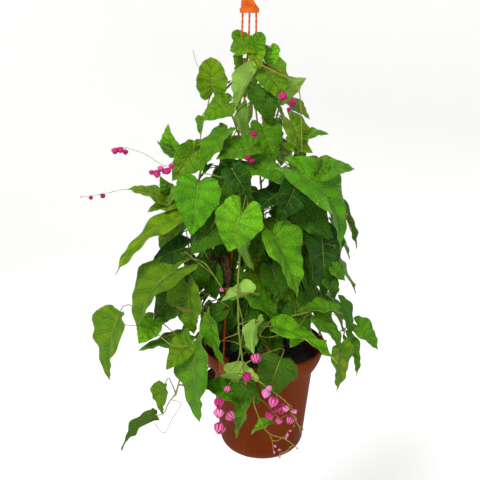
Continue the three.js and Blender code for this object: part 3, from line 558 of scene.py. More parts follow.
VINES = [
    {
        "name": "vine_front", "side": 280, "top": 440,
        "rest": route(
            (241, 190, 78), (239, 215, 76), (240.5, 243, 80), (238, 285, 100), (239, 330, 114),
            (243, 365, 124), (246, 384, 126)),
        "leaves": [
            leaf((253, 292), (221, 301), 98, "pale", wide=0.55, lobe=0.15, under=True),
            leaf((254, 297), (281, 323), 92, "mid", wide=0.5),
            leaf((255, 324), (254, 355), 110, "pale", wide=0.5, under=True),
            leaf((281, 358), (264, 399), 114, "dim", wide=0.85, lobe=0.06),
            leaf((227, 373), (264, 381), 130, "pale", wide=0.55, lobe=0.12, under=True),
            leaf((242, 385), (260, 404), 118, "dark", wide=0.85),
            leaf((248, 402), (236, 438), 118, "mid", wide=0.32, lobe=0.1),
            leaf((271, 421), (251, 434), 118, "bright", wide=0.4, lobe=0.1),
        ],
    },
    {
        "name": "vine_centre", "side": 262, "top": 410,
        "rest": route(
            (250, 180, 50), (248, 158, 54), (243, 140, 46), (238, 120, 40), (237, 112, 36)),
        "leaves": [
            leaf((241, 214), (228.5, 252), 92, "bright", wide=1.18, lobe=0.42),
            leaf((273, 233), (297.5, 297), 92, "bright", wide=0.52, lobe=0.12),
            leaf((199, 182), (191, 236.5), 80, "cool", wide=0.86, lobe=0.12),
            leaf((256, 164), (289, 186.5), 66, "mid", wide=0.58, lobe=0.55),
            leaf((252, 147), (216, 159), 60, "mid", wide=0.65),
            leaf((227, 130), (200, 173), 48, "mid", wide=0.42, lobe=0.1),
            leaf((233, 171), (250, 198), 56, "deep", wide=0.9),
            leaf((282, 190), (253, 215), 66, "deep", wide=0.6),
            leaf((245, 238), (254, 271), 84, "cool", wide=0.32, under=True),
            leaf((248, 108), (250, 146), 40, "pale", wide=0.45, under=True),
        ],
    },
    {
        "name": "vine_right_high", "side": 330, "top": 480,
        "rest": route((269, 142, 16), (275, 122, 20), (281, 102, 18), (284, 90, 16)),
        "leaves": [
            leaf((302, 174), (341, 250), 74, "cool", wide=0.36, bow=0.12),
            leaf((317, 171), (355, 169), 50, "mid", wide=0.6),
            leaf((322, 164), (312, 182), 60, "mid", wide=0.7),
            leaf((290, 122), (302, 167), 32, "olive", wide=0.45),
            leaf((305, 135), (329, 134), 22, "mid", wide=0.42),
            leaf((290, 143), (313, 153), 24, "olive", wide=0.7),
            leaf((281, 95), (306.5, 78), 20, "mid", wide=0.75, under=True),
            leaf((303, 208), (330, 240), 40, "dark", wide=0.8),
            leaf((296, 186), (278, 222), 44, "deep", wide=0.8),
            leaf((263, 127), (274, 165), 34, "mid", wide=0.8),
        ],
    },
    {
        "name": "vine_top", "side": 15, "top": 650,
        "rest": route((254, 48, -9), (251, 36, -10)),
        "leaves": [
            leaf((268, 66), (283, 102), 18, "rough", wide=0.85),
            leaf((270, 49), (273, 70), 10, "bright", wide=0.95),
            leaf((256, 46), (230, 51), 14, "rough", wide=0.68, blunt=True),
            leaf((257, 48), (255, 69), 8, "olive", wide=0.75, blunt=True, roll=30),
            leaf((245, 41), (232, 32), -12, "mid", wide=0.95, blunt=True),
            leaf((255, 48), (262, 32), -14, "mid", wide=1.0, blunt=True),
            leaf((256, 69), (235, 111), 31, "cool", wide=0.52, lobe=0.12, under=True),
            leaf((254, 90), (260, 112), 22, "dark", wide=0.8),
            leaf((262, 96), (272, 124), 12, "dark", wide=0.8),
        ],
    },
    {
        "name": "vine_left_high", "side": 172, "top": 540,
        "rest": route((225, 98, 10), (220, 92, 14), (216, 86, 14)),
        "leaves": [
            leaf((212, 89), (211, 57), 20, "olive", wide=1.0, lobe=0.36, blunt=True),
            leaf((228, 104), (202, 121), 28, "rough", wide=0.8),
            leaf((201, 117), (200, 135), 22, "mid", wide=0.42, lobe=0.1),
            leaf((194, 152), (172, 181), 46, "rough", wide=0.9),
            leaf((174, 152), (168, 124), 28, "bright", wide=0.6),
            leaf((174, 155), (157, 141), 32, "mid", wide=0.28),
            leaf((172, 192), (160, 176), 36, "mid", wide=0.75),
            leaf((162, 199), (126.5, 189), 44, "olive", wide=0.4, lobe=0.2),
            leaf((176, 217), (115, 275), 60, "olive", wide=0.21, bow=-0.08),
        ],
    },
    {
        "name": "vine_left_mid", "side": 190, "top": 300,
        "rest": route((216, 268, 30), (206, 254, 48), (200, 240, 58), (198, 228, 60)),
        "leaves": [
            leaf((176, 270), (137, 331), 84, "moss", wide=0.5, bow=-0.13),
            leaf((221, 224), (191, 255), 70, "dark", wide=0.8),
            leaf((188, 287), (194, 335), 92, "moss", wide=0.62),
            leaf((178, 294), (156, 328), 70, "dark", wide=0.7),
            leaf((184, 248), (152, 262), 50, "deep", wide=0.7),
            leaf((210, 268), (216, 300), 60, "dark", wide=0.8),
            leaf((175, 222), (160, 250), 30, "olive", wide=0.6),
        ],
    },
    {
        "name": "vine_left_low", "side": 206, "top": 215,
        "rest": route(
            (219, 328, 28), (204, 330, 50), (193, 340, 78), (186, 354, 94), (181, 374, 102),
            (176, 394, 106)),
        "leaves": [
            leaf((194, 347), (199.7, 423), 118, "mid", wide=0.38, lobe=0.2),
            leaf((120, 312), (109.5, 380.5), 60, "moss", wide=0.38, lobe=0.04),
            leaf((186, 341), (138, 351), 74, "mid", wide=0.32),
            leaf((187, 344), (166, 370), 100, "moss", wide=0.7),
            leaf((164, 385), (163, 415), 84, "moss", wide=0.5, lobe=0.1),
            leaf((154, 416), (121, 451), 100, "dim", wide=0.24, lobe=0.1, lean=0, bow=-0.09),
            leaf((207, 316), (224.5, 367), 102, "mid", wide=0.26, lobe=0.1),
            leaf((236, 397), (198, 384.5), 109, "cool", wide=0.62, lobe=0.12, lean=0),
        ],
    },
    {
        "name": "vine_right_mid", "side": 314, "top": 300,
        "rest": route((284, 270, 36), (296, 254, 42), (305, 240, 42), (312, 226, 36)),
        "leaves": [
            leaf((300, 240), (310, 300), 36, "dark", wide=0.6),
            leaf((322, 238), (323, 299), 44, "deep", wide=0.6),
            leaf((318, 212), (296, 250), 22, "deep", wide=0.75),
            leaf((334, 268), (345, 281), 48, "mid", wide=0.7),
            leaf((327, 278), (334, 301), 52, "dark", wide=0.6),
            leaf((340, 206), (357, 249), 14, "dark", wide=0.2),
            leaf((272, 268), (282, 300), 66, "dark", wide=0.8),
        ],
    },
    {
        "name": "vine_right_low", "side": 297, "top": 215,
        "rest": route((283, 322, 54), (300, 314, 70), (318, 311, 72), (334, 312, 62), (344, 330, 56)),
        "leaves": [
            leaf((272, 326), (338, 363.5), 116, "bright", wide=0.22, lobe=0.03),
            leaf((315, 316), (343, 350), 92, "mid", wide=0.4, lobe=0.1),
            leaf((340, 346), (337, 391), 90, "olive", wide=0.4, lobe=0.1),
            leaf((333, 309.5), (297, 311), 92, "mid", wide=0.4),
            leaf((358, 326), (378, 350), 46, "mid", wide=0.58),
            leaf((341, 304), (350, 340), 66, "dark", wide=0.36, bow=0.08),
            leaf((348, 340), (357, 376), 56, "mid", wide=0.32),
            leaf((300, 330), (290, 348), 100, "bright", wide=0.8),
        ],
    },
    {
        "name": "vine_back_high", "side": 72, "top": 550,
        "rest": route((253, 88, -38), (250, 70, -40)),
        "leaves": round_leaves(31, 9, (20, 165), (430, 650)),
    },
    {
        "name": "vine_back_left", "side": 138, "top": 350,
        "rest": [vec(-70, 62, 400), vec(-86, 74, 430)],
        "leaves": round_leaves(47, 9, (118, 200), (230, 470)),
    },
    {
        "name": "vine_back_right", "side": 42, "top": 350,
        "rest": [vec(60, 58, 400), vec(72, 68, 440)],
        "leaves": round_leaves(53, 8, (-12, 75), (230, 470)),
    },
    {
        "name": "vine_back_low", "side": 98, "top": 215,
        "rest": [vec(-4, 78, 226), vec(0, 116, 214), vec(4, 130, 180)],
        "leaves": round_leaves(61, 8, (20, 160), (110, 290)),
    },
]

# Bare stems on the front view, with their radius, how red and how yellow they are
RUNNERS = [
    ("vine_top", 1.1, 0.9, 0.6, [(257, 62, 8), (268, 65, 20), (277, 70, 26), (291, 80, 32)]),
    ("vine_top", 1.0, 0.15, 0.5, [
        (291, 80, 32), (298, 89, 34), (300.5, 101, 36), (301.5, 130, 38), (302, 150, 42), (302, 170, 48)]),
    ("vine_top", 1.3, 0.0, 0.1, [(255, 64, 26), (248, 80, 38), (240, 95, 42), (234, 113, 44)]),
    ("vine_left_high", 0.8, 1.0, 0.3, [(238, 77, 8), (228, 86, 14), (221, 95, 16), (213, 89, 20)]),
    ("vine_left_high", 0.45, 0.9, 0.3, [
        (207, 98, 24), (211, 84, 26), (206, 75, 26), (197, 64, 24), (193, 50, 22)]),
    ("vine_centre", 1.1, 0.1, 0.3, [(246, 178, 72), (247, 190, 76), (247.5, 205, 78), (247, 222, 74)]),
    ("vine_centre", 0.9, 0.1, 0.7, [(219, 216, 70), (213, 225, 76), (207, 236, 74), (203, 250, 66)]),
    ("vine_left_mid", 1.0, 0.0, 0.2, [(203, 262, 78), (212, 273, 86), (220, 285, 94), (224, 291, 99)]),
    ("vine_left_mid", 1.0, 0.6, 0.6, [(185, 252, 70), (195, 260, 78), (206, 269, 76), (214, 277, 60)]),
    ("vine_left_mid", 0.8, 0.8, 0.7, [(213, 270, 50), (221, 275, 56), (230, 275, 54), (238, 268, 46)]),
    ("vine_left_low", 0.9, 0.2, 0.4, [
        (152, 326, 84), (160, 336, 104), (172, 345, 116), (186, 346, 118), (201, 343, 108)]),
    ("vine_left_low", 0.5, 0.8, 0.4, [(181, 404, 104), (172, 419, 104), (164, 433, 102), (154, 423, 100)]),
    ("vine_left_low", 0.6, 0.6, 0.6, [(140, 326, 76), (135, 325.5, 70), (125, 325, 62)]),
    ("vine_left_low", 0.9, 0.7, 0.6, [(176, 306, 96), (184, 311, 106), (194, 311, 104), (203, 306, 90)]),
    ("vine_left_low", 1.0, 0.1, 0.6, [(214, 344, 70), (226, 338, 92), (238, 333, 104), (250, 322, 100)]),
    ("vine_left_low", 0.9, 0.3, 0.6, [(218, 340, 60), (230, 341, 86), (241, 345, 108), (249, 350, 112)]),
    ("vine_front", 1.1, 0.2, 0.5, [(238, 288, 60), (239, 305, 72), (243, 324, 84), (241, 345, 96)]),
    ("vine_front", 0.9, 0.1, 0.5, [(238, 329, 112), (240, 346, 116), (238, 360, 120), (230, 372, 124)]),
    ("vine_right_low", 0.9, 0.1, 0.4, [(260, 335, 84), (272, 337, 90), (283, 332, 86), (294, 322, 74)]),
    ("vine_right_mid", 0.9, 1.0, 0.2, [(311, 186, 40), (303, 192, 48), (294, 200, 50), (284, 212, 40)]),
    ("vine_right_mid", 0.9, 1.0, 0.2, [(314, 207, 34), (306, 214, 42), (297, 220, 44), (286, 230, 34)]),
    ("vine_right_mid", 0.8, 1.0, 0.3, [(296, 205, 30), (302, 222, 36), (304, 240, 34), (300, 258, 26)]),
    ("vine_right_mid", 1.0, 0.7, 0.5, [(256, 262, 40), (264, 280, 50), (276, 296, 46), (290, 312, 34)]),
    ("vine_right_high", 0.9, 0.8, 0.4, [(308, 136, 30), (305, 150, 36), (298, 160, 36), (290, 163, 24)]),
]

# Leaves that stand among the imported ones, also withered ones
EXTRAS = {
    "vine_top": [leaf((239, 56), (238, 70), 4, "mid", wide=0.7)],
    "vine_left_high": [
        leaf((203, 148), (183, 165), 30, "olive", wide=0.8),
        leaf((186, 186), (168, 206), 40, "cool", wide=0.5, under=True),
        leaf((178, 203), (147, 212), 46, "olive", wide=0.5),
    ],
    "vine_centre": [
        leaf((228, 176), (214, 206), 40, "dark", wide=0.9),
        leaf((246, 196), (260, 226), 44, "dark", wide=0.9),
    ],
    "vine_right_mid": [
        leaf((266, 262), (286, 322), 36, "withered", wide=0.8),
        leaf((290, 252), (272, 290), 30, "dark", wide=0.9),
        leaf((300, 240), (310, 300), 40, "dark", wide=0.62),
    ],
    "vine_left_mid": [
        leaf((214, 250), (232, 284), 30, "dark", wide=0.9),
        leaf((224, 262), (230, 288), 62, "dead", wide=0.5),
        leaf((214, 262), (206, 288), 58, "dead", wide=0.4),
        leaf((232, 284), (222, 306), 52, "dead", wide=0.5),
        leaf((200, 268), (190, 300), 56, "dark", wide=0.8),
        leaf((153, 321), (138.7, 344), 84, "bright", wide=0.9),
    ],
    "vine_left_low": [
        leaf((206, 372), (196, 392), 92, "dead", wide=0.9),
        leaf((232, 304), (222, 336), 56, "dark", wide=0.8),
    ],
    "vine_front": [leaf((266, 350), (265, 373), 88, "dead", wide=0.55)],
    "vine_right_low": [
        leaf((296, 300), (308, 330), 50, "dark", wide=0.9),
    ],
}

# Each spray: the vine that it grows on, how near it is, its stalk on the front view and how thick it
# is, and its flowers: place, size in millimetres and look
SPRAYS = [
    ("spray_front_main", "vine_front", 140,
     [(257, 380), (275, 393), (287, 403), (291, 412), (301, 430)], 0.95,
     [(268.5, 387, 9.5, "pale"), (266, 394, 12.5, "pale"), (273, 402, 16.5, "pink"),
      (278.5, 411, 15, "open"), (269.5, 416, 13, "deep"), (279, 421, 10, "pink"),
      (286, 408, 9.5, "pale"), (295, 412, 6.5, "pale"), (290, 420, 12, "pink"),
      (300, 429, 3, "green")]),
    ("spray_front_low", "vine_front", 134,
     [(254, 404), (262, 424), (270, 434), (285, 439), (297, 448)], 0.9,
     [(287.5, 432, 5.5, "salmon"), (274, 445, 5, "salmon"), (280, 449, 5, "salmon"),
      (297, 448, 4, "green")]),
    ("spray_front_left", "vine_front", 142,
     [(238, 374), (226, 388), (219.5, 400), (218.5, 410), (221, 425)], 0.6,
     [(227.5, 387, 9.5, "pink"), (219.5, 399.5, 15.5, "deep"), (218.5, 410, 15, "pale"),
      (230.5, 416, 14.5, "pink"), (220, 424.5, 17, "pink")]),
    ("spray_front_top", "vine_front", 134, [(247, 352), (255, 355)], 0.6,
     [(255.5, 355.5, 14.5, "pink")]),
    ("spray_left_high", "vine_left_high", 48,
     [(166, 166), (145, 154), (124, 147.5), (115, 149)], 0.4,
     [(115, 149.5, 10, "deep"), (120.5, 149, 9, "deep"), (125.5, 152.5, 7.5, "dark")]),
    ("spray_left_cluster", "vine_left_high", 88, [(178, 170), (167, 169), (152, 171)], 0.6,
     [(151.5, 171.5, 7, "deep"), (157, 174.5, 10, "deep"), (161, 168, 8.5, "pink"),
      (167, 169.5, 10, "deep"), (171, 165.5, 8, "deep")]),
    ("spray_left_low", "vine_left_high", 66,
     [(154, 193), (127, 189.5), (103, 194), (82, 197)], 0.4,
     [(91, 197.5, 6, "dark"), (103, 195, 7.5, "dark"), (81, 197, 2.5, "dark")]),
    ("spray_right_top", "vine_top", 36, [(281, 88), (287, 97), (290, 109)], 0.5,
     [(283.5, 95, 12.5, "deep"), (292, 101.5, 11, "dark"), (289, 109, 6.5, "dark")]),
    ("spray_centre", "vine_centre", 78, [(250, 130), (252, 146), (249, 160)], 0.5,
     [(252.5, 132.5, 9, "dark"), (248, 157, 8.5, "dark"), (252, 161, 6.5, "dark")]),
    ("spray_right", "vine_right_high", 58, [(339, 206), (346, 214), (350, 229)], 0.4,
     [(346.5, 214, 5, "deep"), (350.5, 228, 4.5, "deep")]),
]

# Stripes, paleness and darkness in each look of flower
BLOOM_LOOKS = {
    "pink": (1.0, 0.5, 0.0), "pale": (0.6, 0.95, 0.0), "deep": (0.9, 0.1, 0.25),
    "dark": (0.6, 0.0, 0.7), "open": (0.9, 0.0, 0.3), "salmon": (0.3, 0.8, 0.1),
    "green": (0.1, 1.0, 0.0),
}

# Twigs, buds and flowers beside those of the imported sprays: place, nearness, size and look
TWIGS = {
    "spray_front_low": [
        [(270, 435, 134), (272, 440, 137), (273.5, 450, 138)],
        [(272, 440, 137), (277, 441, 139), (283, 437, 136)],
        [(279.5, 454, 136), (285, 452, 136), (291, 447, 134), (294, 445, 134)],
        [(283, 438, 134), (286, 435, 136), (287.5, 432, 137)],
    ],
    "spray_front_main": [
        [(288, 404, 140), (291, 406, 142), (292, 409, 142)], [(292, 415, 140), (296, 417, 142)],
        [(297, 422, 140), (294, 424, 142)], [(299, 426, 140), (303, 428, 141)],
    ],
}
LONE_BLOOMS = {
    "spray_front_left": [(247.5, 377, 144, 13.5, "deep")],
    "spray_front_low": [
        (274, 451, 138, 4.5, "salmon"), (279.5, 454.5, 136, 5.5, "salmon"),
        (286, 436, 136, 4, "salmon"), (289, 430, 137, 4, "salmon"), (291, 446, 134, 2.5, "green")],
    "spray_front_main": [
        (292, 409, 142, 4, "pale"), (296, 417, 142, 3.5, "green"), (294, 424, 142, 3, "green"),
        (303, 428, 141, 2.5, "green"), (301, 431, 140, 3, "green"), (266, 391, 144, 7, "pale")],
    "spray_left_high": [(186.7, 147.6, 40, 6.5, "deep")],
    "spray_left_cluster": [(164, 172, 90, 6, "pink")],
    "spray_right_top": [(229, 82, 24, 5, "pink")],
    "spray_centre": [(250, 160, 80, 6, "dark")],
    "spray_front_top": [(221.5, 290, 104, 6.5, "pink")],
}

STRANDS = {
    "hanger_strand_left": (232, 1, [
        (248.4, 45, 2), (246.5, 65, 4), (245.5, 80, 6), (241.3, 157, 12), (239.8, 168, 14),
        (231.5, 256, 46), (228.5, 280, 56), (226, 303, 66)]),
    "hanger_strand_back": (112, 0, [(241.8, 40, -3), (241.8, 83, -9), (239, 120, -18), (239.5, 220, -52)]),
    "hanger_strand_right": (352, 2, [
        (256.8, 45, 0), (262, 107, 1), (264, 127, 2), (266, 154, 3), (298.5, 281, 11)]),
}


class Packed:
    """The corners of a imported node, in the plant's millimetres, for telling where it was put"""

    def __init__(self, node):
        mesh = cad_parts[node].data
        corners = np.empty(len(mesh.vertices) * 3)
        mesh.vertices.foreach_get("co", corners)
        self.corners = corners.reshape(-1, 3) / MM - ORIGIN

    def distance(self, place):
        return np.linalg.norm(self.corners - place, axis=1).min()


def grown(vine, first_order):
    """The stem's points, and each packed leaf's form and branch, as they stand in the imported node."""
    packed = Packed(vine["name"])
    stem = core(vine["side"], vine["top"]) + list(vine["rest"])
    joints = spaced(stem, math.ceil(length_of(stem) / STEM_STEP))
    wood = [joints[0]]
    for before, after in zip(joints, joints[1:]):
        wood += [(before + after) / 2, after]
    wood = [
        p for p in wood if p[2] > POT_HEIGHT + 12 or np.linalg.norm(p) > RIM_RADIUS + 30]
    leaves = []
    for i, one in enumerate(vine["leaves"]):
        for shift in SHIFTS:
            form, path = leaf_on_wood(one, shift, first_order + i, wood)
            if packed.distance(form.tip) < 0.1:
                leaves.append((one, form, path))
                wood += list(path[1:])
                break
    return stem, wood, leaves


def leaf_tone(one, form):
    """Light, yellow and a seed for one leaf."""
    if one.tone is None:
        return 0.25 + 0.6 * form.seed, (7 * form.seed) % 0.6, (13 * form.seed) % 1
    light, yellow = TONES[one.tone]
    return light, yellow, (13 * form.seed) % 1


def petiole(book, form, path, seed):
    """The leaf's branch, thicker at its foot."""
    line = spaced([*path, form.base], 4 + 2 * len(path))
    radii = np.interp(np.linspace(0, 1, len(line)), [0, 0.08, 0.2, 1], [1.5, 1.3, 0.85, 0.75])
    tube(book, line, radii, STEM, 6, (0.25 + 0.5 * seed, 0, seed))


def stem_tube(book, stem, foot, top, redness=0.2):
    """A main stem, with a swelling at each of its nodes."""
    steps = math.ceil(length_of(stem) / 8)
    line = spaced(stem, steps)
    at = np.linspace(0, 1, steps + 1)
    radii = (foot + (top - foot) * at) * knots(at * length_of(stem) / 9.5, 0.28, 8)
    tube(book, line, radii, STEM, 8, (redness, 0, at[1]))


def tendril(book, start, heading, length, seed):
    """A thin curling tendril that ends in a coil."""
    draw = draws(seed)
    side = unit(np.cross(heading, vec(draw() - 0.5, draw() - 0.5, 1)))
    up = np.cross(side, heading)
    places = []
    for share in np.linspace(0, 1, 26):
        coil = 2.6 * math.pi * max(share - 0.55, 0) / 0.45
        curl = length * 0.09 * min(max(share - 0.5, 0) * 5, 1)
        places.append(
            start + heading * length * min(share, 0.62)
            + side * (curl * (1 - math.cos(coil)) + 0.06 * length * math.sin(3 * share))
            + up * curl * math.sin(coil) - vec(0, 0, 0.12 * length * share**2)
        )
    tube(book, places, np.linspace(0.55, 0.28, len(places)), STEM, 5, (0.5, 0, draw()))


# Flowers

# Share of a tepal's width at shares of its length, and the flower's outline round its middle
TEPAL_WIDTH = [(0, 0.5), (0.12, 0.86), (0.35, 1), (0.65, 0.9), (0.86, 0.5), (1, 0.06)]
FLOWER_OUTLINE = [(0, 0.1), (0.06, 0.28), (0.22, 0.46), (0.45, 0.45), (0.7, 0.31), (0.88, 0.15), (1, 0.03)]
TEPAL_STEPS = 9
TEPAL_ACROSS = np.linspace(-1, 1, 11)


def sheet_faces(rows, wide):
    """Faces of a thin closed sheet: an upper grid of corners, then a lower one, joined at the edge."""
    count = (rows + 1) * wide
    faces = []
    for row in range(rows):
        for i in range(wide - 1):
            a = row * wide + i
            faces.append((a, a + 1, a + wide + 1, a + wide))
            faces.append((count + a + wide, count + a + wide + 1, count + a + 1, count + a))
    border = list(range(wide)) + [r * wide + wide - 1 for r in range(1, rows + 1)]
    border += [rows * wide + i for i in range(wide - 2, -1, -1)]
    border += [r * wide for r in range(rows - 1, 0, -1)]
    faces += [(b, a, count + a, count + b) for a, b in zip(border, border[1:] + border[:1])]
    return faces


TEPAL_FACES = sheet_faces(TEPAL_STEPS, len(TEPAL_ACROSS))


def tepal(book, neck, axis, spoke, size, opening, tone, ruffle):
    """One heart-shaped tepal, keeled along its middle: bowed round the closed flower like a third
    of a lantern, or spread out from the open one's middle like a shallow cup."""
    side = np.cross(axis, spoke)
    upper, lower, plan = [], [], []
    for row in range(TEPAL_STEPS + 1):
        along = row / TEPAL_STEPS
        width = np.interp(along, *zip(*TEPAL_WIDTH))
        swell = math.sin(math.pi * along)
        for v in TEPAL_ACROSS:
            keel = 0.1 * swell * math.exp(-((v / 0.18) ** 2))
            curl = (0.09 + 0.03 * math.sin(5 * v + ruffle)) * v**4 * swell
            if opening:
                tilt = math.radians(28 + 34 * along)
                out = 0.62 * size * along * math.sin(tilt + 0.35)
                rise = 0.5 * size * along * math.cos(tilt) + size * (0.16 * v * v * swell - keel)
                place = neck + axis * rise + spoke * (out + 0.06 * size) + side * (
                    0.34 * size * width * v)
                face = axis
            else:
                turn = math.radians(72) * width * v
                radius = size * (np.interp(along, *zip(*FLOWER_OUTLINE)) + keel + curl)
                face = spoke * math.cos(turn) + side * math.sin(turn)
                shoulder = 0.16 * v * v * (1 - along) ** 2
                place = neck + axis * size * (along - shoulder) + face * radius
            upper.append(place)
            lower.append(place - face * 0.3)
            plan.append((along, 0.5 + 0.5 * v))
    book.add(upper + lower, TEPAL_FACES, TEPAL, plan + plan, tone)


def bud(book, foot, axis, size, tone, kind=TEPAL):
    """A closed bud, or a green one if its kind is the stalk's."""
    rings = np.linspace(0, 1, 7)
    line = [foot + axis * size * r for r in rings]
    tube(book, line, 0.36 * size * np.sin(np.pi * (0.06 + 0.9 * rings)) ** 0.8, kind, 8, tone)


def bloom(book, root, place, axis, size, look, seed):
    """A flower on its own short stalk: a closed lantern, an open one, or a bud where it is small."""
    draw = draws(seed)
    neck = place - 0.45 * size * axis
    below = np.dot(neck - root, axis)
    neck = neck + axis * max(BLOOM_NECK - below, 0)
    across = unit(np.cross(vec(0.2, 1, 0.3), axis))
    middle = (root + neck) / 2 + vec(0, 0, 0.12) * np.linalg.norm(neck - root)
    tube(book, spaced([root, middle, neck + 0.5 * axis], 5), np.linspace(0.35, 0.5, 6), STALK, 5,
         (0.5, 0.5, draw()))
    if look == "green":
        bud(book, neck, axis, size, (0.1, 0.9, draw()), STALK)
        return
    stripes, pale, dark = BLOOM_LOOKS[look]
    tone = (stripes, pale + 0.1 * (draw() - 0.5), dark)
    if size < 5.6:
        bud(book, neck, axis, size, tone)
        return
    opening = look == "open"
    if opening:
        axis = unit(axis + vec(0, -2.2, 0.6))
        across = unit(np.cross(vec(0.2, 0.1, 1), axis))
    petals = 5 if opening else 3
    start = 360 * draw()
    for i in range(petals):
        spoke = rotated(across, axis, math.radians(start + 360 * i / petals))
        tepal(book, neck, axis, spoke, size, opening, tone, 6 * draw())
    if not opening:
        bud(book, neck, axis, 0.8 * size, tone)
        return
    for i in range(8):
        spoke = rotated(across, axis, i * math.pi / 4)
        line = [neck, neck + axis * 0.25 * size + spoke * 0.06 * size,
                neck + axis * 0.42 * size + spoke * 0.12 * size]
        tube(book, line, [0.25, 0.25, 0.5], STALK, 5, (0.1, 0.9, 0.5))


# Colours and materials


def linear(code):
    """The linear colour of an sRGB hex value."""
    parts = [int(code[i:i + 2], 16) / 255 for i in (1, 3, 5)]
    return tuple(p / 12.92 if p <= 0.04045 else ((p + 0.055) / 1.055) ** 2.4 for p in parts)


def shade(colour, share):
    return tuple(share * c for c in colour)


def add(tree, kind, *values, **named):
    """Adds a node. Plain values go to its inputs in their order, capitalised names to the input of
    that name and small ones to the node's own settings. A node or an output among them is linked."""
    made = tree.nodes.new("ShaderNode" + kind)
    for name, value in named.items():
        if name.islower():
            setattr(made, name, value)
    given = list(zip([i for i in made.inputs if i.enabled], values))
    given += [(made.inputs[n.replace("_", " ")], v) for n, v in named.items() if not n.islower()]
    for socket, value in given:
        if isinstance(value, bpy.types.Node):
            value = next(o for o in value.outputs if o.enabled)
        if isinstance(value, bpy.types.NodeSocket):
            tree.links.new(value, socket)
        elif isinstance(value, tuple) and socket.type == "RGBA":
            socket.default_value = (*value, 1)
        else:
            socket.default_value = value
    return made


SMOOTH = {"interpolation_type": "SMOOTHSTEP"}
TINT = {"data_type": "RGBA"}
TIMES = {"operation": "MULTIPLY"}
LARGER = {"operation": "MAXIMUM"}
LESS = {"operation": "SUBTRACT"}
ZIGZAG = {"operation": "PINGPONG"}


def material(name):
    """A new material, and the way to add nodes to it."""
    made = bpy.data.materials.new(name)
    made.use_nodes = True
    made.node_tree.nodes.clear()
    return made, partial(add, made.node_tree)


def speckle(node, millimetres, detail, low, high, to_low=0.0, to_high=1.0):
    """Blotches of about this size in the object's own space, as a mask."""
    blotches = node("TexNoise", node("TexCoord").outputs["Object"], 1 / (millimetres * MM), detail)
    return node("MapRange", blotches, low, high, to_low, to_high, **SMOOTH)


def plan_of(node):
    """How far along its leaf, petal or stem a place is, and how far across or around it."""
    parts = node("SeparateXYZ", node("UVMap", uv_map="plan")).outputs
    return parts["X"], parts["Y"]


def tone_of(node):
    """The three shares that set one leaf, stem or flower apart from the next."""
    parts = node("SeparateColor", node("Attribute", attribute_name="tone")).outputs
    return parts["Red"], parts["Green"], parts["Blue"]


def leaf_pattern(node, side_width, rib_width, millimetres):
    """Masks of the side veins and the rib, and the relief of the blade: pillows between the side
    veins, little domes between the finest ones, and both kinds of vein sunk."""
    u, v = plan_of(node)
    from_rib = node("Math", node("Math", v, 0.5, **LESS), operation="ABSOLUTE")
    to_vein = node("Math", node("Math", u, float(VEINS), **TIMES), 0.5, **ZIGZAG)
    side = node("MapRange", to_vein, 0.0, side_width, 1.0, 0.0, **SMOOTH)
    side = node("Math", side, node("MapRange", from_rib, 0.5, 0.2, 0.15, 1.0, **SMOOTH), **TIMES)
    rib = node("MapRange", from_rib, 0.0, rib_width, 1.0, 0.0, **SMOOTH)
    # The net of a real blade is 1 to 2 mm wide, and is drawn coarser to show from a step away
    net = node("TexVoronoi", node("TexCoord").outputs["Object"], 1 / (millimetres * MM),
               feature="DISTANCE_TO_EDGE")
    dome = node("MapRange", net, 0.0, 0.35, 0.0, 0.5, **SMOOTH)
    pillow = node("MapRange", to_vein, 0.0, 0.3, 0.0, 0.5, **SMOOTH)
    fold = node("Math", node("Math", dome, pillow), rib, **LESS)
    return side, rib, dome, fold


def leaf_upper_material(colours):
    """Waxed cuticle over a bullate blade: a dull satin sheen that breaks up over the little domes between
    the veins, which lie sunk. Painted shade makes the sunk veins and the grooves round the domes darker
    than the green."""
    made, node = material("leaf_upper_waxed_cuticle")
    light, yellow, _ = tone_of(node)
    # Painted light and shade: a low light share darkens leaves that lie in shade, and a high one brightens
    # top-lit leaves.
    old = node("Mix", node("MapRange", light, 0.0, 0.5), colours.leaf_dark, colours.leaf_mid, **TINT)
    green = node("Mix", node("MapRange", light, 0.5, 1.0), old, colours.leaf_bright, **TINT)
    green = node("Mix", yellow, green, colours.leaf_olive, **TINT)
    blotch = speckle(node, 20, 3.0, 0.35, 0.7, 0.0, 0.55)
    green = node("Mix", blotch, green, shade(colours.leaf_mid, 0.6), **TINT)
    side, rib, _, relief = leaf_pattern(node, 0.07, 0.03, 4.0)
    # Painted shade: the sunk veins and the grooves round the domes are darkened.
    painted_groove_shade = node("MapRange", relief, 0.0, 0.8, 0.62, 0.0)
    green = node("Mix", painted_groove_shade, green, shade(colours.leaf_mid, 0.32), **TINT)
    pale = node("Math", node("Math", side, 0.12, **TIMES), node("Math", rib, 0.4, **TIMES), **LARGER)
    green = node("Mix", pale, green, colours.leaf_vein, **TINT)
    surface = node(
        "BsdfPrincipled", Base_Color=green, Roughness=speckle(node, 4, 2.0, 0.2, 0.8, 0.42, 0.62),
        IOR=1.42, Specular_IOR_Level=0.16, Normal=node("Bump", Distance=1.9 * MM, Height=relief))
    node("OutputMaterial", surface)
    return made


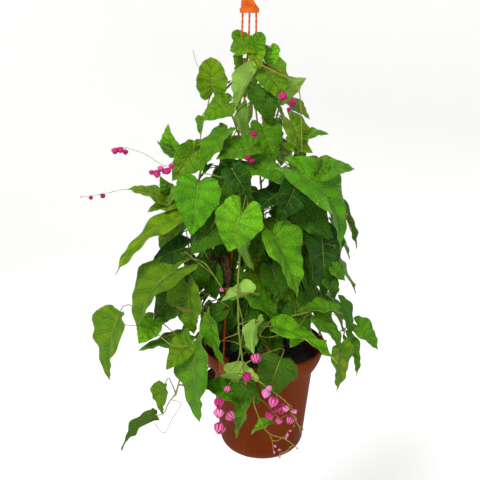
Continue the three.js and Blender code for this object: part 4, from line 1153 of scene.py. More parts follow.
def leaf_under_material(colours):
    """Unwaxed underside with fine down: pale, matt, its net of veins standing out lighter."""
    made, node = material("leaf_underside_net_veined")
    light, yellow, _ = tone_of(node)
    # Painted shade: a low light share darkens the underside of leaves that lie in shade.
    green = node("Mix", light, shade(colours.leaf_under, 0.4), colours.leaf_under, **TINT)
    green = node("Mix", node("Math", yellow, 0.25, **TIMES), green, colours.leaf_olive, **TINT)
    green = node("Mix", speckle(node, 16, 3.0, 0.35, 0.7, 0.0, 0.3), green, colours.leaf_mid, **TINT)
    side, rib, dome, fold = leaf_pattern(node, 0.1, 0.035, 3.8)
    pale = node("Math", node("Math", side, 0.3, **TIMES), node("Math", rib, 0.55, **TIMES), **LARGER)
    pale = node("Math", pale, node("MapRange", dome, 0.0, 0.5, 0.3, 0.0), **LARGER)
    green = node("Mix", pale, green, colours.leaf_vein, **TINT)
    relief = node("Math", fold, -1.0, **TIMES)
    surface = node(
        "BsdfPrincipled", Base_Color=green, Roughness=0.7, IOR=1.42, Specular_IOR_Level=0.08,
        Sheen_Weight=0.04, Sheen_Roughness=0.5, Normal=node("Bump", Distance=0.8 * MM, Height=relief))
    node("OutputMaterial", surface)
    return made


def stem_material(colours):
    """Young green bark, finely ribbed along its length, flushed red where the sun reaches it."""
    made, node = material("vine_stem_young_bark")
    redness, yellow, _ = tone_of(node)
    colour = node("Mix", yellow, colours.stem_green, colours.stem_yellow, **TINT)
    flush = node("Math", redness, speckle(node, 30, 2.0, 0.3, 0.65), **TIMES)
    colour = node("Mix", flush, colour, colours.stem_red, **TINT)
    fleck = speckle(node, 1.6, 2.0, 0.55, 0.75, 0.0, 0.35)
    colour = node("Mix", fleck, colour, colours.stem_red, **TINT)
    _, turn = plan_of(node)
    ribs = node("Math", node("Math", turn, 2 * math.pi * STEM_RIBS, **TIMES), operation="SINE")
    surface = node(
        "BsdfPrincipled", Base_Color=colour, Roughness=0.55, IOR=1.42, Specular_IOR_Level=0.2,
        Normal=node("Bump", 0.6, 0.12 * MM, Height=ribs))
    node("OutputMaterial", surface)
    return made


def tepal_material(colours):
    """Papery coloured tepals: soft, matt, veined and deeper pink along the crease and at the base."""
    made, node = material("coral_vine_tepal_papery")
    stripes, pale, dark = tone_of(node)
    u, v = plan_of(node)
    pink = node("Mix", pale, colours.bloom, colours.bloom_pale, **TINT)
    pink = node("Mix", dark, pink, colours.bloom_deep, **TINT)
    from_crease = node("Math", node("Math", v, 0.5, **LESS), operation="ABSOLUTE")
    stripe = node("MapRange", node("Math", from_crease, 1 / 6, **ZIGZAG), 0.08, 0.145, **SMOOTH)
    foot = node("MapRange", u, 0.0, 0.35, 0.9, 0.0, **SMOOTH)
    deep = node("Math", node("Math", stripe, foot, **LARGER), stripes, **TIMES)
    rays = node("Math", node("Math", v, 13.0, **TIMES), 0.5, **ZIGZAG)
    veins = node("MapRange", rays, 0.0, 0.16, 0.2, 0.0, **SMOOTH)
    deep = node("Math", deep, veins, **LARGER)
    relief = node("Math", veins, speckle(node, 1.2, 2.0, 0.0, 1.0), operation="ADD")
    surface = node(
        "BsdfPrincipled", Base_Color=node("Mix", deep, pink, colours.bloom_deep, **TINT),
        Roughness=0.6, IOR=1.4, Specular_IOR_Level=0.15, Sheen_Weight=0.05, Sheen_Roughness=0.4,
        Normal=node("Bump", 0.7, 0.15 * MM, Height=relief))
    node("OutputMaterial", surface)
    return made


def pot_material(colours):
    """Injection-moulded polypropylene: smooth satin brown, faintly flecked, dusty in patches and rubbed a
    little lighter round the lip. Painted shade darkens the wall towards its foot."""
    made, node = material("polypropylene_moulded_brown")
    where = node("TexCoord").outputs["Object"]
    height = node("SeparateXYZ", where).outputs["Z"]
    foot, lip = CAD_BOX[0][2], CAD_BOX[0][2] + (POT_HEIGHT - LIP_HEIGHT) * MM
    # Painted shade: the wall is darkened towards its foot, which turns away from the light.
    rise = node("MapRange", height, foot, lip, **SMOOTH)
    colour = node("Mix", rise, shade(colours.pot, 0.72), colours.pot, **TINT)
    colour = node("Mix", speckle(node, 45, 4.0, 0.35, 0.7, 0.0, 0.35), colour,
                  shade(colours.pot, 1.3), **TINT)
    rubbed = node("MapRange", height, lip, lip + 0.03, 0.03, 0.12, **SMOOTH)
    dust = node("Math", speckle(node, 3, 5.0, 0.58, 0.72), rubbed, **TIMES)
    colour = node("Mix", dust, colour, colours.dust, **TINT)
    # Watering leaves streaks down the wall, 4.55 mm wide and 71.4 mm long
    across, down = 1 / (4.55 * MM), 1 / (71.4 * MM)
    runs = node("TexNoise", node("Mapping", where, Scale=(across, across, down)), 1.0, 3.0)
    streak = node("MapRange", runs, 0.6, 0.75, 0.0, 0.1, **SMOOTH)
    colour = node("Mix", streak, colour, colours.dust, **TINT)
    surface = node(
        "BsdfPrincipled", Base_Color=colour, Roughness=speckle(node, 45, 4.0, 0.3, 0.7, 0.52, 0.66),
        IOR=1.49, Specular_IOR_Level=0.04,
        Normal=node("Bump", 0.5, 0.05 * MM, Height=speckle(node, 0.9, 3.0, 0.2, 0.8)))
    node("OutputMaterial", surface)
    return made


def hanger_material(colours):
    """Moulded polypropylene again, in orange: satin, darker in blotches and flecked with the pot's brown."""
    made, node = material("polypropylene_moulded_orange")
    colour = node("Mix", speckle(node, 14, 3.0, 0.3, 0.75), colours.hanger,
                  shade(colours.hanger, 0.62), **TINT)
    colour = node("Mix", speckle(node, 1.1, 2.0, 0.66, 0.78, 0.0, 0.35), colour, colours.pot, **TINT)
    surface = node(
        "BsdfPrincipled", Base_Color=colour, Roughness=0.42, IOR=1.49, Specular_IOR_Level=0.12,
        Normal=node("Bump", 0.6, 0.12 * MM, Height=speckle(node, 1.4, 2.0, 0.2, 0.8)))
    node("OutputMaterial", surface)
    return made


def soil_material(colours):
    """Damp peat mix: nearly black, matt, with fibres and crumbs of brown through it."""
    made, node = material("peat_potting_mix_damp")
    colour = node("Mix", speckle(node, 2.2, 4.0, 0.45, 0.65), colours.soil, colours.soil_crumb, **TINT)
    surface = node(
        "BsdfPrincipled", Base_Color=colour, Roughness=0.88, Specular_IOR_Level=0.25,
        Normal=node("Bump", Distance=1.2 * MM, Height=speckle(node, 1.5, 5.0, 0.0, 1.0)))
    node("OutputMaterial", surface)
    return made


def bark_material(colours):
    """Crumbs of composted bark: each its own brown, rough and fibrous."""
    made, node = material("composted_bark_crumb")
    light, _, _ = tone_of(node)
    colour = node("Mix", light, colours.soil, colours.dry, **TINT)
    colour = node("Mix", speckle(node, 0.8, 3.0, 0.4, 0.7, 0.0, 0.5), colour, colours.soil, **TINT)
    surface = node(
        "BsdfPrincipled", Base_Color=colour, Roughness=0.8, Specular_IOR_Level=0.25,
        Normal=node("Bump", Distance=0.4 * MM, Height=speckle(node, 0.7, 3.0, 0.0, 1.0)))
    node("OutputMaterial", surface)
    return made


def dry_leaf_material(colours):
    """Withered leaf: brittle, matt brown, blotched darker and paler along the veins it has shrunk on."""
    made, node = material("withered_leaf_brown")
    side, rib, dome, _ = leaf_pattern(node, 0.12, 0.04, 5.0)
    colour = node("Mix", speckle(node, 9, 4.0, 0.3, 0.7), colours.dry, shade(colours.dry, 0.35), **TINT)
    veins = node("Math", side, rib, **LARGER)
    colour = node("Mix", node("Math", veins, 0.4, **TIMES), colour, colours.dust, **TINT)
    surface = node(
        "BsdfPrincipled", Base_Color=colour, Roughness=0.75, Specular_IOR_Level=0.2,
        Normal=node("Bump", Distance=0.6 * MM, Height=node("Math", veins, dome, **LESS)))
    node("OutputMaterial", surface)
    return made


def studio_material():
    """Matt white paint of a studio cove, which the floor and the back run into without an edge."""
    made, node = material("studio_cove_matt_paint")
    surface = node(
        "BsdfPrincipled", Base_Color=linear("#f8f8f7"), Specular_IOR_Level=0.1,
        Roughness=speckle(node, 400, 2.0, 0.2, 0.8, 0.88, 0.9))
    node("OutputMaterial", surface)
    return made


# The pot, its soil and the hanger


def rounded(outline, steps=4):
    """The outline with its corners rounded: each point is a radius, a height and a rounding."""
    made = []
    for i, (r, z, rounding) in enumerate(outline):
        here = vec(r, z)
        if rounding == 0 or i in (0, len(outline) - 1):
            made.append(here)
            continue
        before, after = (vec(*outline[i + by][:2]) - here for by in (-1, 1))
        reach = min(rounding, 0.45 * np.linalg.norm(before), 0.45 * np.linalg.norm(after))
        start, end = here + unit(before) * reach, here + unit(after) * reach
        for share in np.linspace(0, 1, steps + 1):
            made.append(start * (1 - share) ** 2 + here * 2 * share * (1 - share) + end * share**2)
    return made


def corner_arc(inset, steps=8):
    """The rounded foot of the wall, set in from its outer face."""
    centre = vec(WALL_FOOT_RADIUS - CORNER_RADIUS, FLOOR + CORNER_RADIUS)
    turns = np.radians(np.linspace(-90, 0, steps + 1))
    return [(*(centre + (CORNER_RADIUS - inset) * vec(math.cos(a), math.sin(a))), 0) for a in turns]


def lathe(book, outline, sides, kind=0, wobble=None):
    """The outline turned about the upright axis. Its first and last points stand on the axis."""
    rings = outline[1:-1]
    turns = circle(sides)
    corners = [vec(0, 0, outline[0][1])]
    for r, z in rings:
        for turn in turns:
            place = vec(r * math.cos(turn), r * math.sin(turn), z)
            corners.append(wobble(place) if wobble else place)
    corners.append(vec(0, 0, outline[-1][1]))
    if wobble:
        corners[0], corners[-1] = wobble(corners[0]), wobble(corners[-1])
    last = len(corners) - 1
    faces = [(0, 1 + (i + 1) % sides, 1 + i) for i in range(sides)]
    faces += ring_faces(len(rings), sides, 1)
    top = 1 + (len(rings) - 1) * sides
    faces += [(top + i, top + (i + 1) % sides, last) for i in range(sides)]
    book.add(corners, faces, kind)


def combined(target, others, operation):
    """Joins the others to the target or cuts them out of it, and leaves the result in its mesh."""
    for other in others:
        step = target.modifiers.new("combined", "BOOLEAN")
        step.operation, step.object, step.solver = operation, other, "EXACT"
    settle(target)
    for other in others:
        bpy.data.objects.remove(other)


def settle(target):
    """Applies the target's modifiers to its mesh."""
    bpy.context.view_layer.update()
    shown = target.evaluated_get(bpy.context.evaluated_depsgraph_get())
    mesh = bpy.data.meshes.new_from_object(shown)
    target.modifiers.clear()
    target.data = mesh


def block(book, size, centre, turn=0.0, kind=0):
    """A box of the given size, turned about the upright axis."""
    x, y, z = (s / 2 for s in size)
    spin = np.array(Matrix.Rotation(turn, 3, "Z"))
    corners = [
        centre + spin @ vec(a * x, b * y, c * z) for c in (-1, 1) for a, b in
        ((-1, -1), (1, -1), (1, 1), (-1, 1))]
    faces = [(3, 2, 1, 0), (4, 5, 6, 7), (0, 1, 5, 4), (1, 2, 6, 5), (2, 3, 7, 6), (3, 0, 4, 7)]
    book.add(corners, faces, kind)


def softened(target, width, segments=2):
    """Rounds the target's edges, as a mould does."""
    bevel = target.modifiers.new("soft_edges", "BEVEL")
    bevel.width, bevel.segments, bevel.limit_method = width * MM, segments, "ANGLE"
    settle(target)
    smoothed(target.data, 40)


def rim_point(turn, radius, height):
    return vec(radius * math.cos(turn), radius * math.sin(turn), height)


def evenly(count):
    """Turns that divide the circle evenly, the first one half a step round."""
    return [(i + 0.5) * 2 * math.pi / count for i in range(count)]


def fitted(piece, slot, *nodes):
    """Sets a finished piece in the frame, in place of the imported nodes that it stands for."""
    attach(piece, "root")
    if nodes:
        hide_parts(*nodes)


class CoralVineSizes(bpy.types.PropertyGroup):
    blade_thickness: bpy.props.FloatProperty(
        name="Blade Thickness", description="Thickness of a leaf between its veins",
        default=0.0006, min=0.0002, max=0.002, unit="LENGTH")
    rib_depth: bpy.props.FloatProperty(
        name="Rib Depth", description="How far the rib sinks into the upper face of a leaf",
        default=0.0005, min=0, max=0.003, unit="LENGTH")
    quilting: bpy.props.FloatProperty(
        name="Quilting", description="Rise of the blade between its veins, as a share of its length",
        default=0.028, min=0, max=0.05, subtype="FACTOR")
    edge_wave: bpy.props.FloatProperty(
        name="Edge Wave", description="Wave of the leaf's edge, as a share of its length",
        default=0.028, min=0, max=0.06, subtype="FACTOR")
    edge_nicks: bpy.props.FloatProperty(
        name="Edge Nicks", description="Small ins and outs of the edge, as a share of the half width",
        default=0.045, min=0, max=0.2, subtype="FACTOR")
    filler_step: bpy.props.FloatProperty(
        name="Inner Leaf Step", description="Height of stem that carries one of the inner leaves",
        default=0.012, min=0.004, max=0.1, unit="LENGTH")
    bloom_fullness: bpy.props.FloatProperty(
        name="Bloom Fullness", description="Size of the flowers against the size each one is given",
        default=1, min=0.5, max=1.5, subtype="FACTOR")
    crumbs: bpy.props.IntProperty(
        name="Bark Crumbs", description="Number of bark crumbs that lie on the soil",
        default=170, min=0, max=1000)
    soil_lumps: bpy.props.FloatProperty(
        name="Soil Lumps", description="Height of the lumps in the soil's top",
        default=0.004, min=0, max=0.02, unit="LENGTH")


def colour_property(name, description, code):
    return bpy.props.FloatVectorProperty(
        name=name, description=description, subtype="COLOR", size=3, min=0, max=1,
        default=linear(code))


class CoralVineColours(bpy.types.PropertyGroup):
    # The dark colour also paints shade on leaves that lie in shade, and the bright colour paints light on
    # top-lit leaves.
    leaf_dark: colour_property("Dark Leaf", "Upper face of old leaves", "#143602")
    leaf_mid: colour_property("Leaf", "Upper face of most leaves", "#3c7c02")
    leaf_bright: colour_property("Bright Leaf", "Upper face of young leaves", "#64ae08")
    leaf_olive: colour_property("Olive Leaf", "Leaves that turn yellow", "#708c06")
    leaf_under: colour_property("Leaf Underside", "Lower face of the leaves", "#8cba50")
    leaf_vein: colour_property("Leaf Veins", "Veins and rib", "#a5c450")
    stem_green: colour_property("Green Stem", "Young stems", "#6f8530")
    stem_yellow: colour_property("Yellow Stem", "Older stems and flower stalks", "#94853a")
    stem_red: colour_property("Red Stem", "Stems and stalks flushed by the sun", "#63301a")
    bloom: colour_property("Flower", "Tepals", "#c42a74")
    bloom_pale: colour_property("Pale Flower", "Palest tepals", "#e088b8")
    bloom_deep: colour_property("Deep Flower", "Stripes and foot of the tepals", "#7c0640")
    pot: colour_property("Pot", "Moulded pot", "#6a2a06")
    hanger: colour_property("Hanger", "Moulded hub and strands", "#c85a12")
    soil: colour_property("Soil", "Damp peat", "#100b08")
    soil_crumb: colour_property("Soil Crumb", "Fibres and crumbs in the soil", "#38261a")
    dry: colour_property("Withered", "Dead leaves and bark", "#46330f")
    dust: colour_property("Dust", "Dust and splashes on the pot", "#8a6f55")


def choices(group):
    """The group's values as plain numbers and tuples."""
    names = [p.identifier for p in group.bl_rna.properties if p.identifier not in ("rna_type", "name")]
    return SimpleNamespace(**{
        n: tuple(v) if hasattr(v := getattr(group, n), "__len__") else v for n in names})


class CORALVINE_OT_pot(bpy.types.Operator):
    """Mould the pot, with its rolled lip, foot ring and drain holes"""

    bl_idname = "coralvine.pot"
    bl_label = "Pot"

    def execute(self, context):
        colours = choices(context.scene.coral_vine_colours)
        lip_foot = POT_HEIGHT - LIP_HEIGHT
        outline = [
            (0, FLOOR, 0), *corner_arc(0),
            (WALL_TOP_RADIUS, lip_foot - 0.5, 1.5), (LIP_FOOT_RADIUS, lip_foot, 1.5),
            (RIM_RADIUS - 4, lip_foot + 14, 9), (RIM_RADIUS, POT_HEIGHT - 4, 2),
            (RIM_RADIUS - 0.6, POT_HEIGHT - 0.6, 1), (RIM_RADIUS - 1.6, POT_HEIGHT, 0.5),
            (RIM_RADIUS - WALL - 0.8, POT_HEIGHT - 1.4, 1),
            (RIM_RADIUS - WALL - 1.4, lip_foot + 22, 8),
            (LIP_FOOT_RADIUS - WALL - 1, lip_foot + 3, 2),
            (WALL_TOP_RADIUS - WALL, lip_foot - 2, 2),
            *reversed(corner_arc(WALL)), (0, FLOOR + WALL, 0),
        ]
        book = Book()
        lathe(book, rounded(outline), 120)
        pot = book.piece("pot_moulded", [])
        combined(pot, [self.foot_ring()], "UNION")
        combined(pot, self.cutters(), "DIFFERENCE")
        smoothed(pot.data, 38)
        pot.data.materials.clear()
        pot.data.materials.append(pot_material(colours))
        fitted(pot, "pot_plastic", "pot")
        return {"FINISHED"}

    def foot_ring(self):
        inner, outer = FOOT_RING["inner"], FOOT_RING["outer"]
        section = [(inner, 0.6), (inner + 0.6, 0), (outer - 0.6, 0), (outer, 0.6),
                   (outer, FLOOR + 1), (inner, FLOOR + 1)]
        turns = circle(96)
        book = Book()
        book.add([rim_point(t, r, z) for r, z in section for t in turns],
                 ring_faces(len(section), len(turns), closed=True), 0)
        return book.piece("foot_ring", [])

    def cutters(self):
        """The notches in the foot ring and the drain holes."""
        made = []
        middle = (FOOT_RING["inner"] + FOOT_RING["outer"]) / 2
        for turn in evenly(FOOT_RING["notches"]):
            notch = Book()
            block(notch, (20, FOOT_RING["notch_width"], FLOOR + 2),
                  rim_point(turn, middle, FLOOR / 2 - 1), turn)
            made.append(notch.piece("notch", []))
        for turn in evenly(DRAIN["count"]):
            hole = Book()
            tube(hole, [rim_point(turn, DRAIN["ring"], z) for z in (-1, 3, 9)], DRAIN["radius"], 0, 28)
            made.append(hole.piece("drain_hole", []))
        return made


def soil_height(place, lumps):
    """The soil's top: a little uneven, lower round its edge."""
    at = Vector((place[0] / 30, place[1] / 30, 0.4))
    fine = Vector((place[0] / 7, place[1] / 7, 1.7))
    return lumps / MM * (0.7 * noise.noise(at) + 0.45 * noise.noise(fine))


class CORALVINE_OT_soil(bpy.types.Operator):
    """Fill the pot with peat mix, with bark crumbs on top"""

    bl_idname = "coralvine.soil"
    bl_label = "Soil"

    def execute(self, context):
        colours = choices(context.scene.coral_vine_colours)
        sizes = choices(context.scene.coral_vine_sizes)

        def lumpy(place):
            if place[2] > SOIL_TOP - LUMP_DEPTH:
                rise = soil_height(place, sizes.soil_lumps)
                place = place + vec(0, 0, rise * min(1, (LEVEL_RADIUS + 4 - np.hypot(*place[:2])) / 6))
            return place

        inset = WALL + 0.3
        rings = [(r, SOIL_TOP - 1.5 * (r / LEVEL_RADIUS) ** 6)
                 for r in np.linspace(LEVEL_RADIUS, 2, 40)]
        outline = [
            (0, FLOOR + inset), *((r, z) for r, z, _ in corner_arc(inset)),
            (WALL_TOP_RADIUS - inset, POT_HEIGHT - LIP_HEIGHT - 2),
            (LIP_FOOT_RADIUS - inset - 2, SOIL_TOP - LUMP_DEPTH),
            (LIP_FOOT_RADIUS - inset - 2.4, SOIL_TOP - 4),
            *rings, (0, SOIL_TOP),
        ]
        book = Book()
        lathe(book, outline, 110, wobble=lumpy)
        soil = book.piece("soil_peat", [soil_material(colours)])
        fitted(soil, "soil", "soil")
        self.scatter(sizes, colours)
        return {"FINISHED"}

    def scatter(self, sizes, colours):
        draw = draws(SEEDS["crumbs"])
        crumbs = Book()
        seed_shape = bmesh.new()
        bmesh.ops.create_icosphere(seed_shape, subdivisions=1, radius=1)
        corners = np.array([v.co for v in seed_shape.verts])
        faces = [tuple(v.index for v in f.verts) for f in seed_shape.faces]
        seed_shape.free()
        for i in range(sizes.crumbs):
            turn, out = 2 * math.pi * draw(), LEVEL_RADIUS * math.sqrt(draw())
            place = rim_point(turn, out, SOIL_TOP)
            place[2] += soil_height(place, sizes.soil_lumps) + 0.6
            size = 1.2 + 3.2 * draw() ** 2
            flat = vec(1 + draw(), 1, 0.4 + 0.4 * draw()) * size * 0.7
            spin = np.array(Matrix.Rotation(6.28 * draw(), 3, "Z") @ Matrix.Rotation(draw(), 3, "X"))
            rough = np.array([1 + 0.5 * noise.noise(Vector(c * 1.7 + i)) for c in corners])
            crumbs.add(place + (corners * rough[:, None] * flat) @ spin.T, faces, 0,
                       tone=(draw() ** 1.5, draw(), draw()))
        fitted(crumbs.piece("bark_crumbs", [bark_material(colours)], 60), "soil")


class CORALVINE_OT_hanger(bpy.types.Operator):
    """Mould the hanger: the hub with its hook, and the knobbly strands with their rim clips"""

    bl_idname = "coralvine.hanger"
    bl_label = "Hanger"

    def execute(self, context):
        colours = choices(context.scene.coral_vine_colours)
        orange = hanger_material(colours)
        self.hub(orange)
        for name, (rim_at, top, places) in STRANDS.items():
            self.strand(name, math.radians(rim_at), STRAND_TOPS[top], places, orange)
        return {"FINISHED"}

    def hub(self, orange):
        x, bottom, neck = HUB["x"], HUB["bottom"], HOOK["bar"] / 2
        left, right = x - HUB["width"] / 2, x + HUB["width"] / 2
        wide, deep, tall = HUB["bar"]
        shoulder = bottom + tall
        plate = [
            (left, bottom + 1), (right, bottom + 1), (right, shoulder), (x + 4, shoulder + 14),
            (x + neck, shoulder + 20), (x + neck, HOOK_CENTRE - HOOK["inner"] - neck),
            (x - neck, HOOK_CENTRE - HOOK["inner"] - neck), (x - neck, shoulder + 20),
            (left + 1, shoulder + 10), (left, shoulder),
        ]
        outer = HOOK["inner"] + HOOK["bar"]
        turns = np.radians(np.linspace(HOOK["from"], HOOK["to"], 33))
        centre = vec(x, HOOK_CENTRE)
        ring = [tuple(centre + outer * vec(math.cos(a), math.sin(a))) for a in turns]
        ring += [tuple(centre + HOOK["inner"] * vec(math.cos(a), math.sin(a))) for a in reversed(turns)]
        book = Book()
        self.flat(book, plate, HUB["depth"])
        self.flat(book, list(reversed(ring)), HOOK["depth"])
        block(book, (wide, deep, tall), vec(x, 0, bottom + tall / 2))
        block(book, (HOOK["bar"], HOOK["depth"], 12), vec(x, 0, HOOK_CENTRE - HOOK["inner"] - 5))
        for edge, height in ((left + 0.8, 17), (right - 0.8, 10)):
            block(book, (1.6, HUB["depth"] + 3, height), vec(edge, 0, bottom + height / 2))
        hub = book.piece("hanger_hub_moulded", [orange])
        melt = hub.modifiers.new("one_body", "REMESH")
        melt.mode, melt.voxel_size, melt.use_smooth_shade = "VOXEL", 0.45 * MM, True
        soft = hub.modifiers.new("soft_edges", "SMOOTH")
        soft.factor, soft.iterations = 0.6, 4
        settle(hub)
        if not hub.data.materials:
            hub.data.materials.append(orange)
        smoothed(hub.data)
        fitted(hub, "hanger_plastic", "hanger_hub")

    def flat(self, book, outline, depth):
        """The outline as a plate, middle on the hanger's own plane."""
        count = len(outline)
        corners = [vec(x, y, z) for y in (-depth / 2, depth / 2) for x, z in outline]
        faces = [tuple(range(count)), tuple(reversed(range(count, 2 * count)))]
        for i in range(count):
            j = (i + 1) % count
            faces.append((j, i, count + i, count + j))
        book.add(corners, faces, 0)

    def strand(self, name, turn, top, places, orange):
        points = [
            vec(top, 0, HUB["bottom"] + 4.7), vec(top, 0, HUB["bottom"] - 8), *route(*places),
            rim_point(turn, RIM_RADIUS - 1, POT_HEIGHT + 8),
            rim_point(turn, RIM_RADIUS - 1, POT_HEIGHT + 3),
        ]
        run = length_of(points)
        line = spaced(points, math.ceil(run / 1.5))
        at = np.linspace(0, run, len(line))
        knobs = 1 + 0.17 * np.maximum(np.sin(at * 2 * math.pi / 7.5), -0.4) + 0.05 * np.sin(at / 2.3)
        book = Book()
        tube(book, line, STRAND_RADIUS * 0.92 * knobs, 0, 10)
        block(book, CLIP, rim_point(turn, RIM_RADIUS - 1.2, POT_HEIGHT - 5), turn)
        strand = book.piece(name.replace("hanger_", "") + "_moulded", [orange])
        softened(strand, 0.9)
        fitted(strand, "hanger_plastic", name)


def all_woods():
    """Every vine's stem, wood and packed leaves, worked out once."""
    order = 1
    made = {}
    for vine in VINES:
        made[vine["name"]] = grown(vine, order)
        order += len(vine["leaves"])
    return made


WOODS = all_woods()


def inner_leaves(vine, index, step):
    """Smaller leaves close about each stem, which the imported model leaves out."""
    low, high = POT_HEIGHT + 22, max(vine["top"], POT_HEIGHT + 90)
    count = round((high - low) / (step / MM))
    front = 200 < vine["side"] < 345
    share = (0.2, 0.24) if front else (0.34, 0.42)
    around = (vine["side"] - 52, vine["side"] + 52)
    return round_leaves(SEEDS["inner"] + index, count, around, (low, high), share, (26, 30))


class CORALVINE_OT_vines(bpy.types.Operator):
    """Grow the leafy stems, with their quilted leaves, inner leaves and tendrils"""

    bl_idname = "coralvine.vines"
    bl_label = "Leafy Stems"

    def execute(self, context):
        colours = choices(context.scene.coral_vine_colours)
        sizes = choices(context.scene.coral_vine_sizes)
        finishes = [
            leaf_upper_material(colours), leaf_under_material(colours), stem_material(colours),
            dry_leaf_material(colours)]
        for index, vine in enumerate(VINES):
            stem, wood, leaves = WOODS[vine["name"]]
            book = Book()
            stem_tube(book, stem, 2.1, 1.2)
            for one, form, path in leaves:
                tone = leaf_tone(one, form)
                blade(book, form, tone, sizes, dead=one.tone == "dead")
                petiole(book, form, path, tone[2])
            for i, one in enumerate(inner_leaves(vine, index, sizes.filler_step)):
                form, path = leaf_on_wood(one, 0, SEEDS["inner_leaf"] + 40 * index + i, wood)
                # Painted shade: the inner leaves take dark tones, as the inside of the foliage lies in
                # shade.
                tone = (0.02 + 0.35 * form.seed, 0.3 * ((7 * form.seed) % 1), (13 * form.seed) % 1)
                blade(book, form, tone, sizes, "inner")
                petiole(book, form, path, tone[2])
            for i, one in enumerate(EXTRAS.get(vine["name"], [])):
                form, path = leaf_on_wood(one, 0, SEEDS["extra_leaf"] + 20 * index + i, wood)
                blade(book, form, leaf_tone(one, form), sizes, dead=one.tone == "dead")
                petiole(book, form, path, 0.9)
            for name, radius, redness, yellow, places in RUNNERS:
                if name == vine["name"]:
                    self.runner(book, wood, radius, (redness, yellow, 0.5), route(*places))
            for i in range(2):
                start = wood[(5 + 9 * i + index) % len(wood)]
                away = unit(start - vec(middle_line(start[2]), 0, start[2] + 8))
                tendril(book, start, away, 34, SEEDS["tendril"] + 3 * index + i)
            piece = book.piece(vine["name"] + "_grown", finishes)
            fitted(piece, "foliage", vine["name"])
        return {"FINISHED"}

    def runner(self, book, wood, radius, tone, places):
        """A bare stem through the places, from the wood nearest to its first one."""
        start = nearest(wood, places[0])
        line = spaced([start, *places], 12 * len(places))
        count = np.arange(len(line))
        radii = radius * np.linspace(1, 0.8, len(line)) * knots(count * 0.7, 0.35, 10)
        tube(book, line, radii, STEM, 6, tone)


class CORALVINE_OT_sprays(bpy.types.Operator):
    """Hang the sprays of flowers on their stalks"""

    bl_idname = "coralvine.sprays"
    bl_label = "Sprays"

    def execute(self, context):
        colours = choices(context.scene.coral_vine_colours)
        fullness = context.scene.coral_vine_sizes.bloom_fullness
        finishes = [tepal_material(colours), stem_material(colours)]
        finishes[1].name = "spray_stalk_young_bark"
        for index, (name, vine, near, stalk, thick, blooms) in enumerate(SPRAYS):
            packed = Packed(name)
            wood = WOODS[vine][1]
            start = min(wood, key=packed.distance)
            by = min(SPRAY_SHIFTS, key=lambda s: packed.distance(seen(*stalk[-1], near + s)))
            book = Book()
            stalks = self.stalks(
                book, [start, *(seen(u, v, near + by) for u, v in stalk)], thick,
                [route(*((u, v, n + by) for u, v, n in twig)) for twig in TWIGS.get(name, [])])
            lone = LONE_BLOOMS.get(name, [])
            every = [(u, v, near + 3, size, look) for u, v, size, look in blooms] + lone
            for i, (u, v, bloom_near, size, look) in enumerate(every):
                place = seen(u, v, bloom_near + by)
                root = nearest(stalks if i < len(blooms) else [*stalks, *wood], place)
                away = (place - root) / max(np.linalg.norm(place - root), 1e-6)
                axis = unit(2 * away + vec(0, -1, -2))
                bloom(book, root, place, axis, size * fullness, look, 10 * index + i + 1)
            spray = book.piece(name + "_in_flower", finishes)
            fitted(spray, "flowers", name)
        return {"FINISHED"}

    def stalks(self, book, line, thick, twigs):
        """The spray's own stalk and its twigs. Gives the places on them where flowers may hang."""
        along = spaced(line, 10 * len(line))
        count = np.arange(len(along))
        along[:, 2] += 0.4 * np.sin(count * 1.7)
        radii = thick * np.linspace(1, 0.6, len(along)) * knots(count * 0.9, 0.6, 12)
        tube(book, along, radii, STALK, 6, (0.35, 0.8, 0.3) if thick > 0.6 else (0.9, 0.3, 0.3))
        finer = [spaced(twig, 12) for twig in twigs]
        for twig in finer:
            tube(book, twig, np.linspace(0.6, 0.4, 13), STALK, 6, (0.3, 0.9, 0.3))
        return np.concatenate([along[8:], *finer])


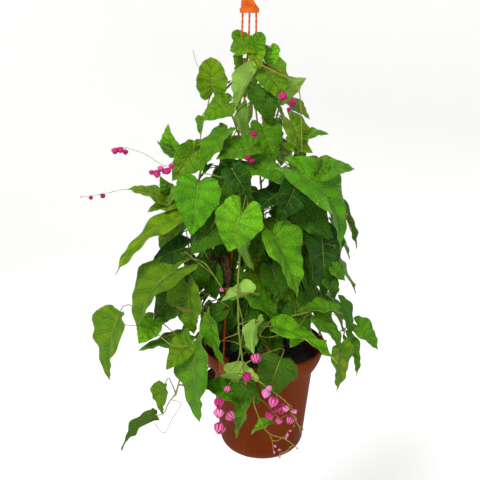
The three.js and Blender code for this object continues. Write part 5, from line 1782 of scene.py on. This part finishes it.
class CORALVINE_OT_stage(bpy.types.Operator):
    """Set the studio: a pale cove, soft lights, and the camera of the front view"""

    bl_idname = "coralvine.stage"
    bl_label = "Stage"

    def execute(self, context):
        scene = context.scene
        camera = bpy.data.objects.new("camera", bpy.data.cameras.new("camera"))
        camera.location = Vector(to_frame(EYE))
        camera.rotation_euler = (math.pi / 2 - PITCH, 0, 0)
        camera.data.sensor_width = SENSOR
        camera.data.lens = FOCAL / IMAGE * SENSOR
        scene.collection.objects.link(camera)
        scene.camera = camera
        self.cove()
        target = Vector(to_frame(vec(-20, 0, 380)))
        for name, (place, size, power) in LIGHTS.items():
            lamp = bpy.data.lights.new(name, "AREA")
            lamp.size, lamp.energy = size, power
            light = bpy.data.objects.new(name, lamp)
            light.location = place
            light.rotation_euler = (target - Vector(place)).to_track_quat("-Z", "Y").to_euler()
            scene.collection.objects.link(light)
        world = bpy.data.worlds.new("studio")
        world.use_nodes = True
        world.node_tree.nodes["Background"].inputs["Color"].default_value = (1, 1, 1, 1)
        world.node_tree.nodes["Background"].inputs["Strength"].default_value = 0.24
        scene.world = world
        scene.view_settings.view_transform = "Standard"
        return {"FINISHED"}

    def cove(self):
        """A round floor that curves up into a low wall."""
        below = to_frame(vec(0, 0, 0))[2] - COVE["drop"]
        floor, bend = COVE["floor"], COVE["bend"]
        outline = [(0.0, 0.0), (1.4, 0.0), (floor, 0.0)]
        outline += [(floor + bend * math.sin(a), bend - bend * math.cos(a))
                    for a in np.radians(np.linspace(8, 90, 12))]
        outline.append((floor + bend, COVE["wall"]))
        book = bmesh.new()
        corners = [book.verts.new((r, 0, z + below)) for r, z in outline]
        edges = [book.edges.new(pair) for pair in zip(corners, corners[1:])]
        bmesh.ops.spin(
            book, geom=corners + edges, cent=(0, 0, 0), axis=(0, 0, 1), angle=2 * math.pi, steps=96)
        bmesh.ops.remove_doubles(book, verts=book.verts, dist=1e-4)
        bmesh.ops.recalc_face_normals(book, faces=book.faces)
        mesh = bpy.data.meshes.new("studio_cove")
        book.to_mesh(mesh)
        book.free()
        smoothed(mesh)
        mesh.materials.append(studio_material())
        cove = bpy.data.objects.new("studio_cove", mesh)
        bpy.context.scene.collection.objects.link(cove)


OPERATORS = (
    CORALVINE_OT_stage, CORALVINE_OT_pot, CORALVINE_OT_soil, CORALVINE_OT_hanger,
    CORALVINE_OT_vines, CORALVINE_OT_sprays,
)


class CORALVINE_PT_panel(bpy.types.Panel):
    """Lists the pieces of the potted vine and their sizes and colours"""

    bl_label = "Coral Vine"
    bl_idname = "CORALVINE_PT_panel"
    bl_space_type = "VIEW_3D"
    bl_region_type = "UI"
    bl_category = "Coral Vine"

    def draw(self, context):
        layout = self.layout
        for group in (context.scene.coral_vine_sizes, context.scene.coral_vine_colours):
            for name in vars(choices(group)):
                layout.prop(group, name)
        for operator in OPERATORS:
            layout.operator(operator.bl_idname)


CLASSES = (CoralVineSizes, CoralVineColours, *OPERATORS, CORALVINE_PT_panel)


def register():
    for one in CLASSES:
        bpy.utils.register_class(one)
    bpy.types.Scene.coral_vine_sizes = bpy.props.PointerProperty(type=CoralVineSizes)
    bpy.types.Scene.coral_vine_colours = bpy.props.PointerProperty(type=CoralVineColours)


def unregister():
    del bpy.types.Scene.coral_vine_colours
    del bpy.types.Scene.coral_vine_sizes
    for one in reversed(CLASSES):
        bpy.utils.unregister_class(one)


def main():
    register()
    for operator in OPERATORS:
        getattr(bpy.ops.coralvine, operator.bl_idname.split(".")[1])()


if __name__ == "__main__":
    main()
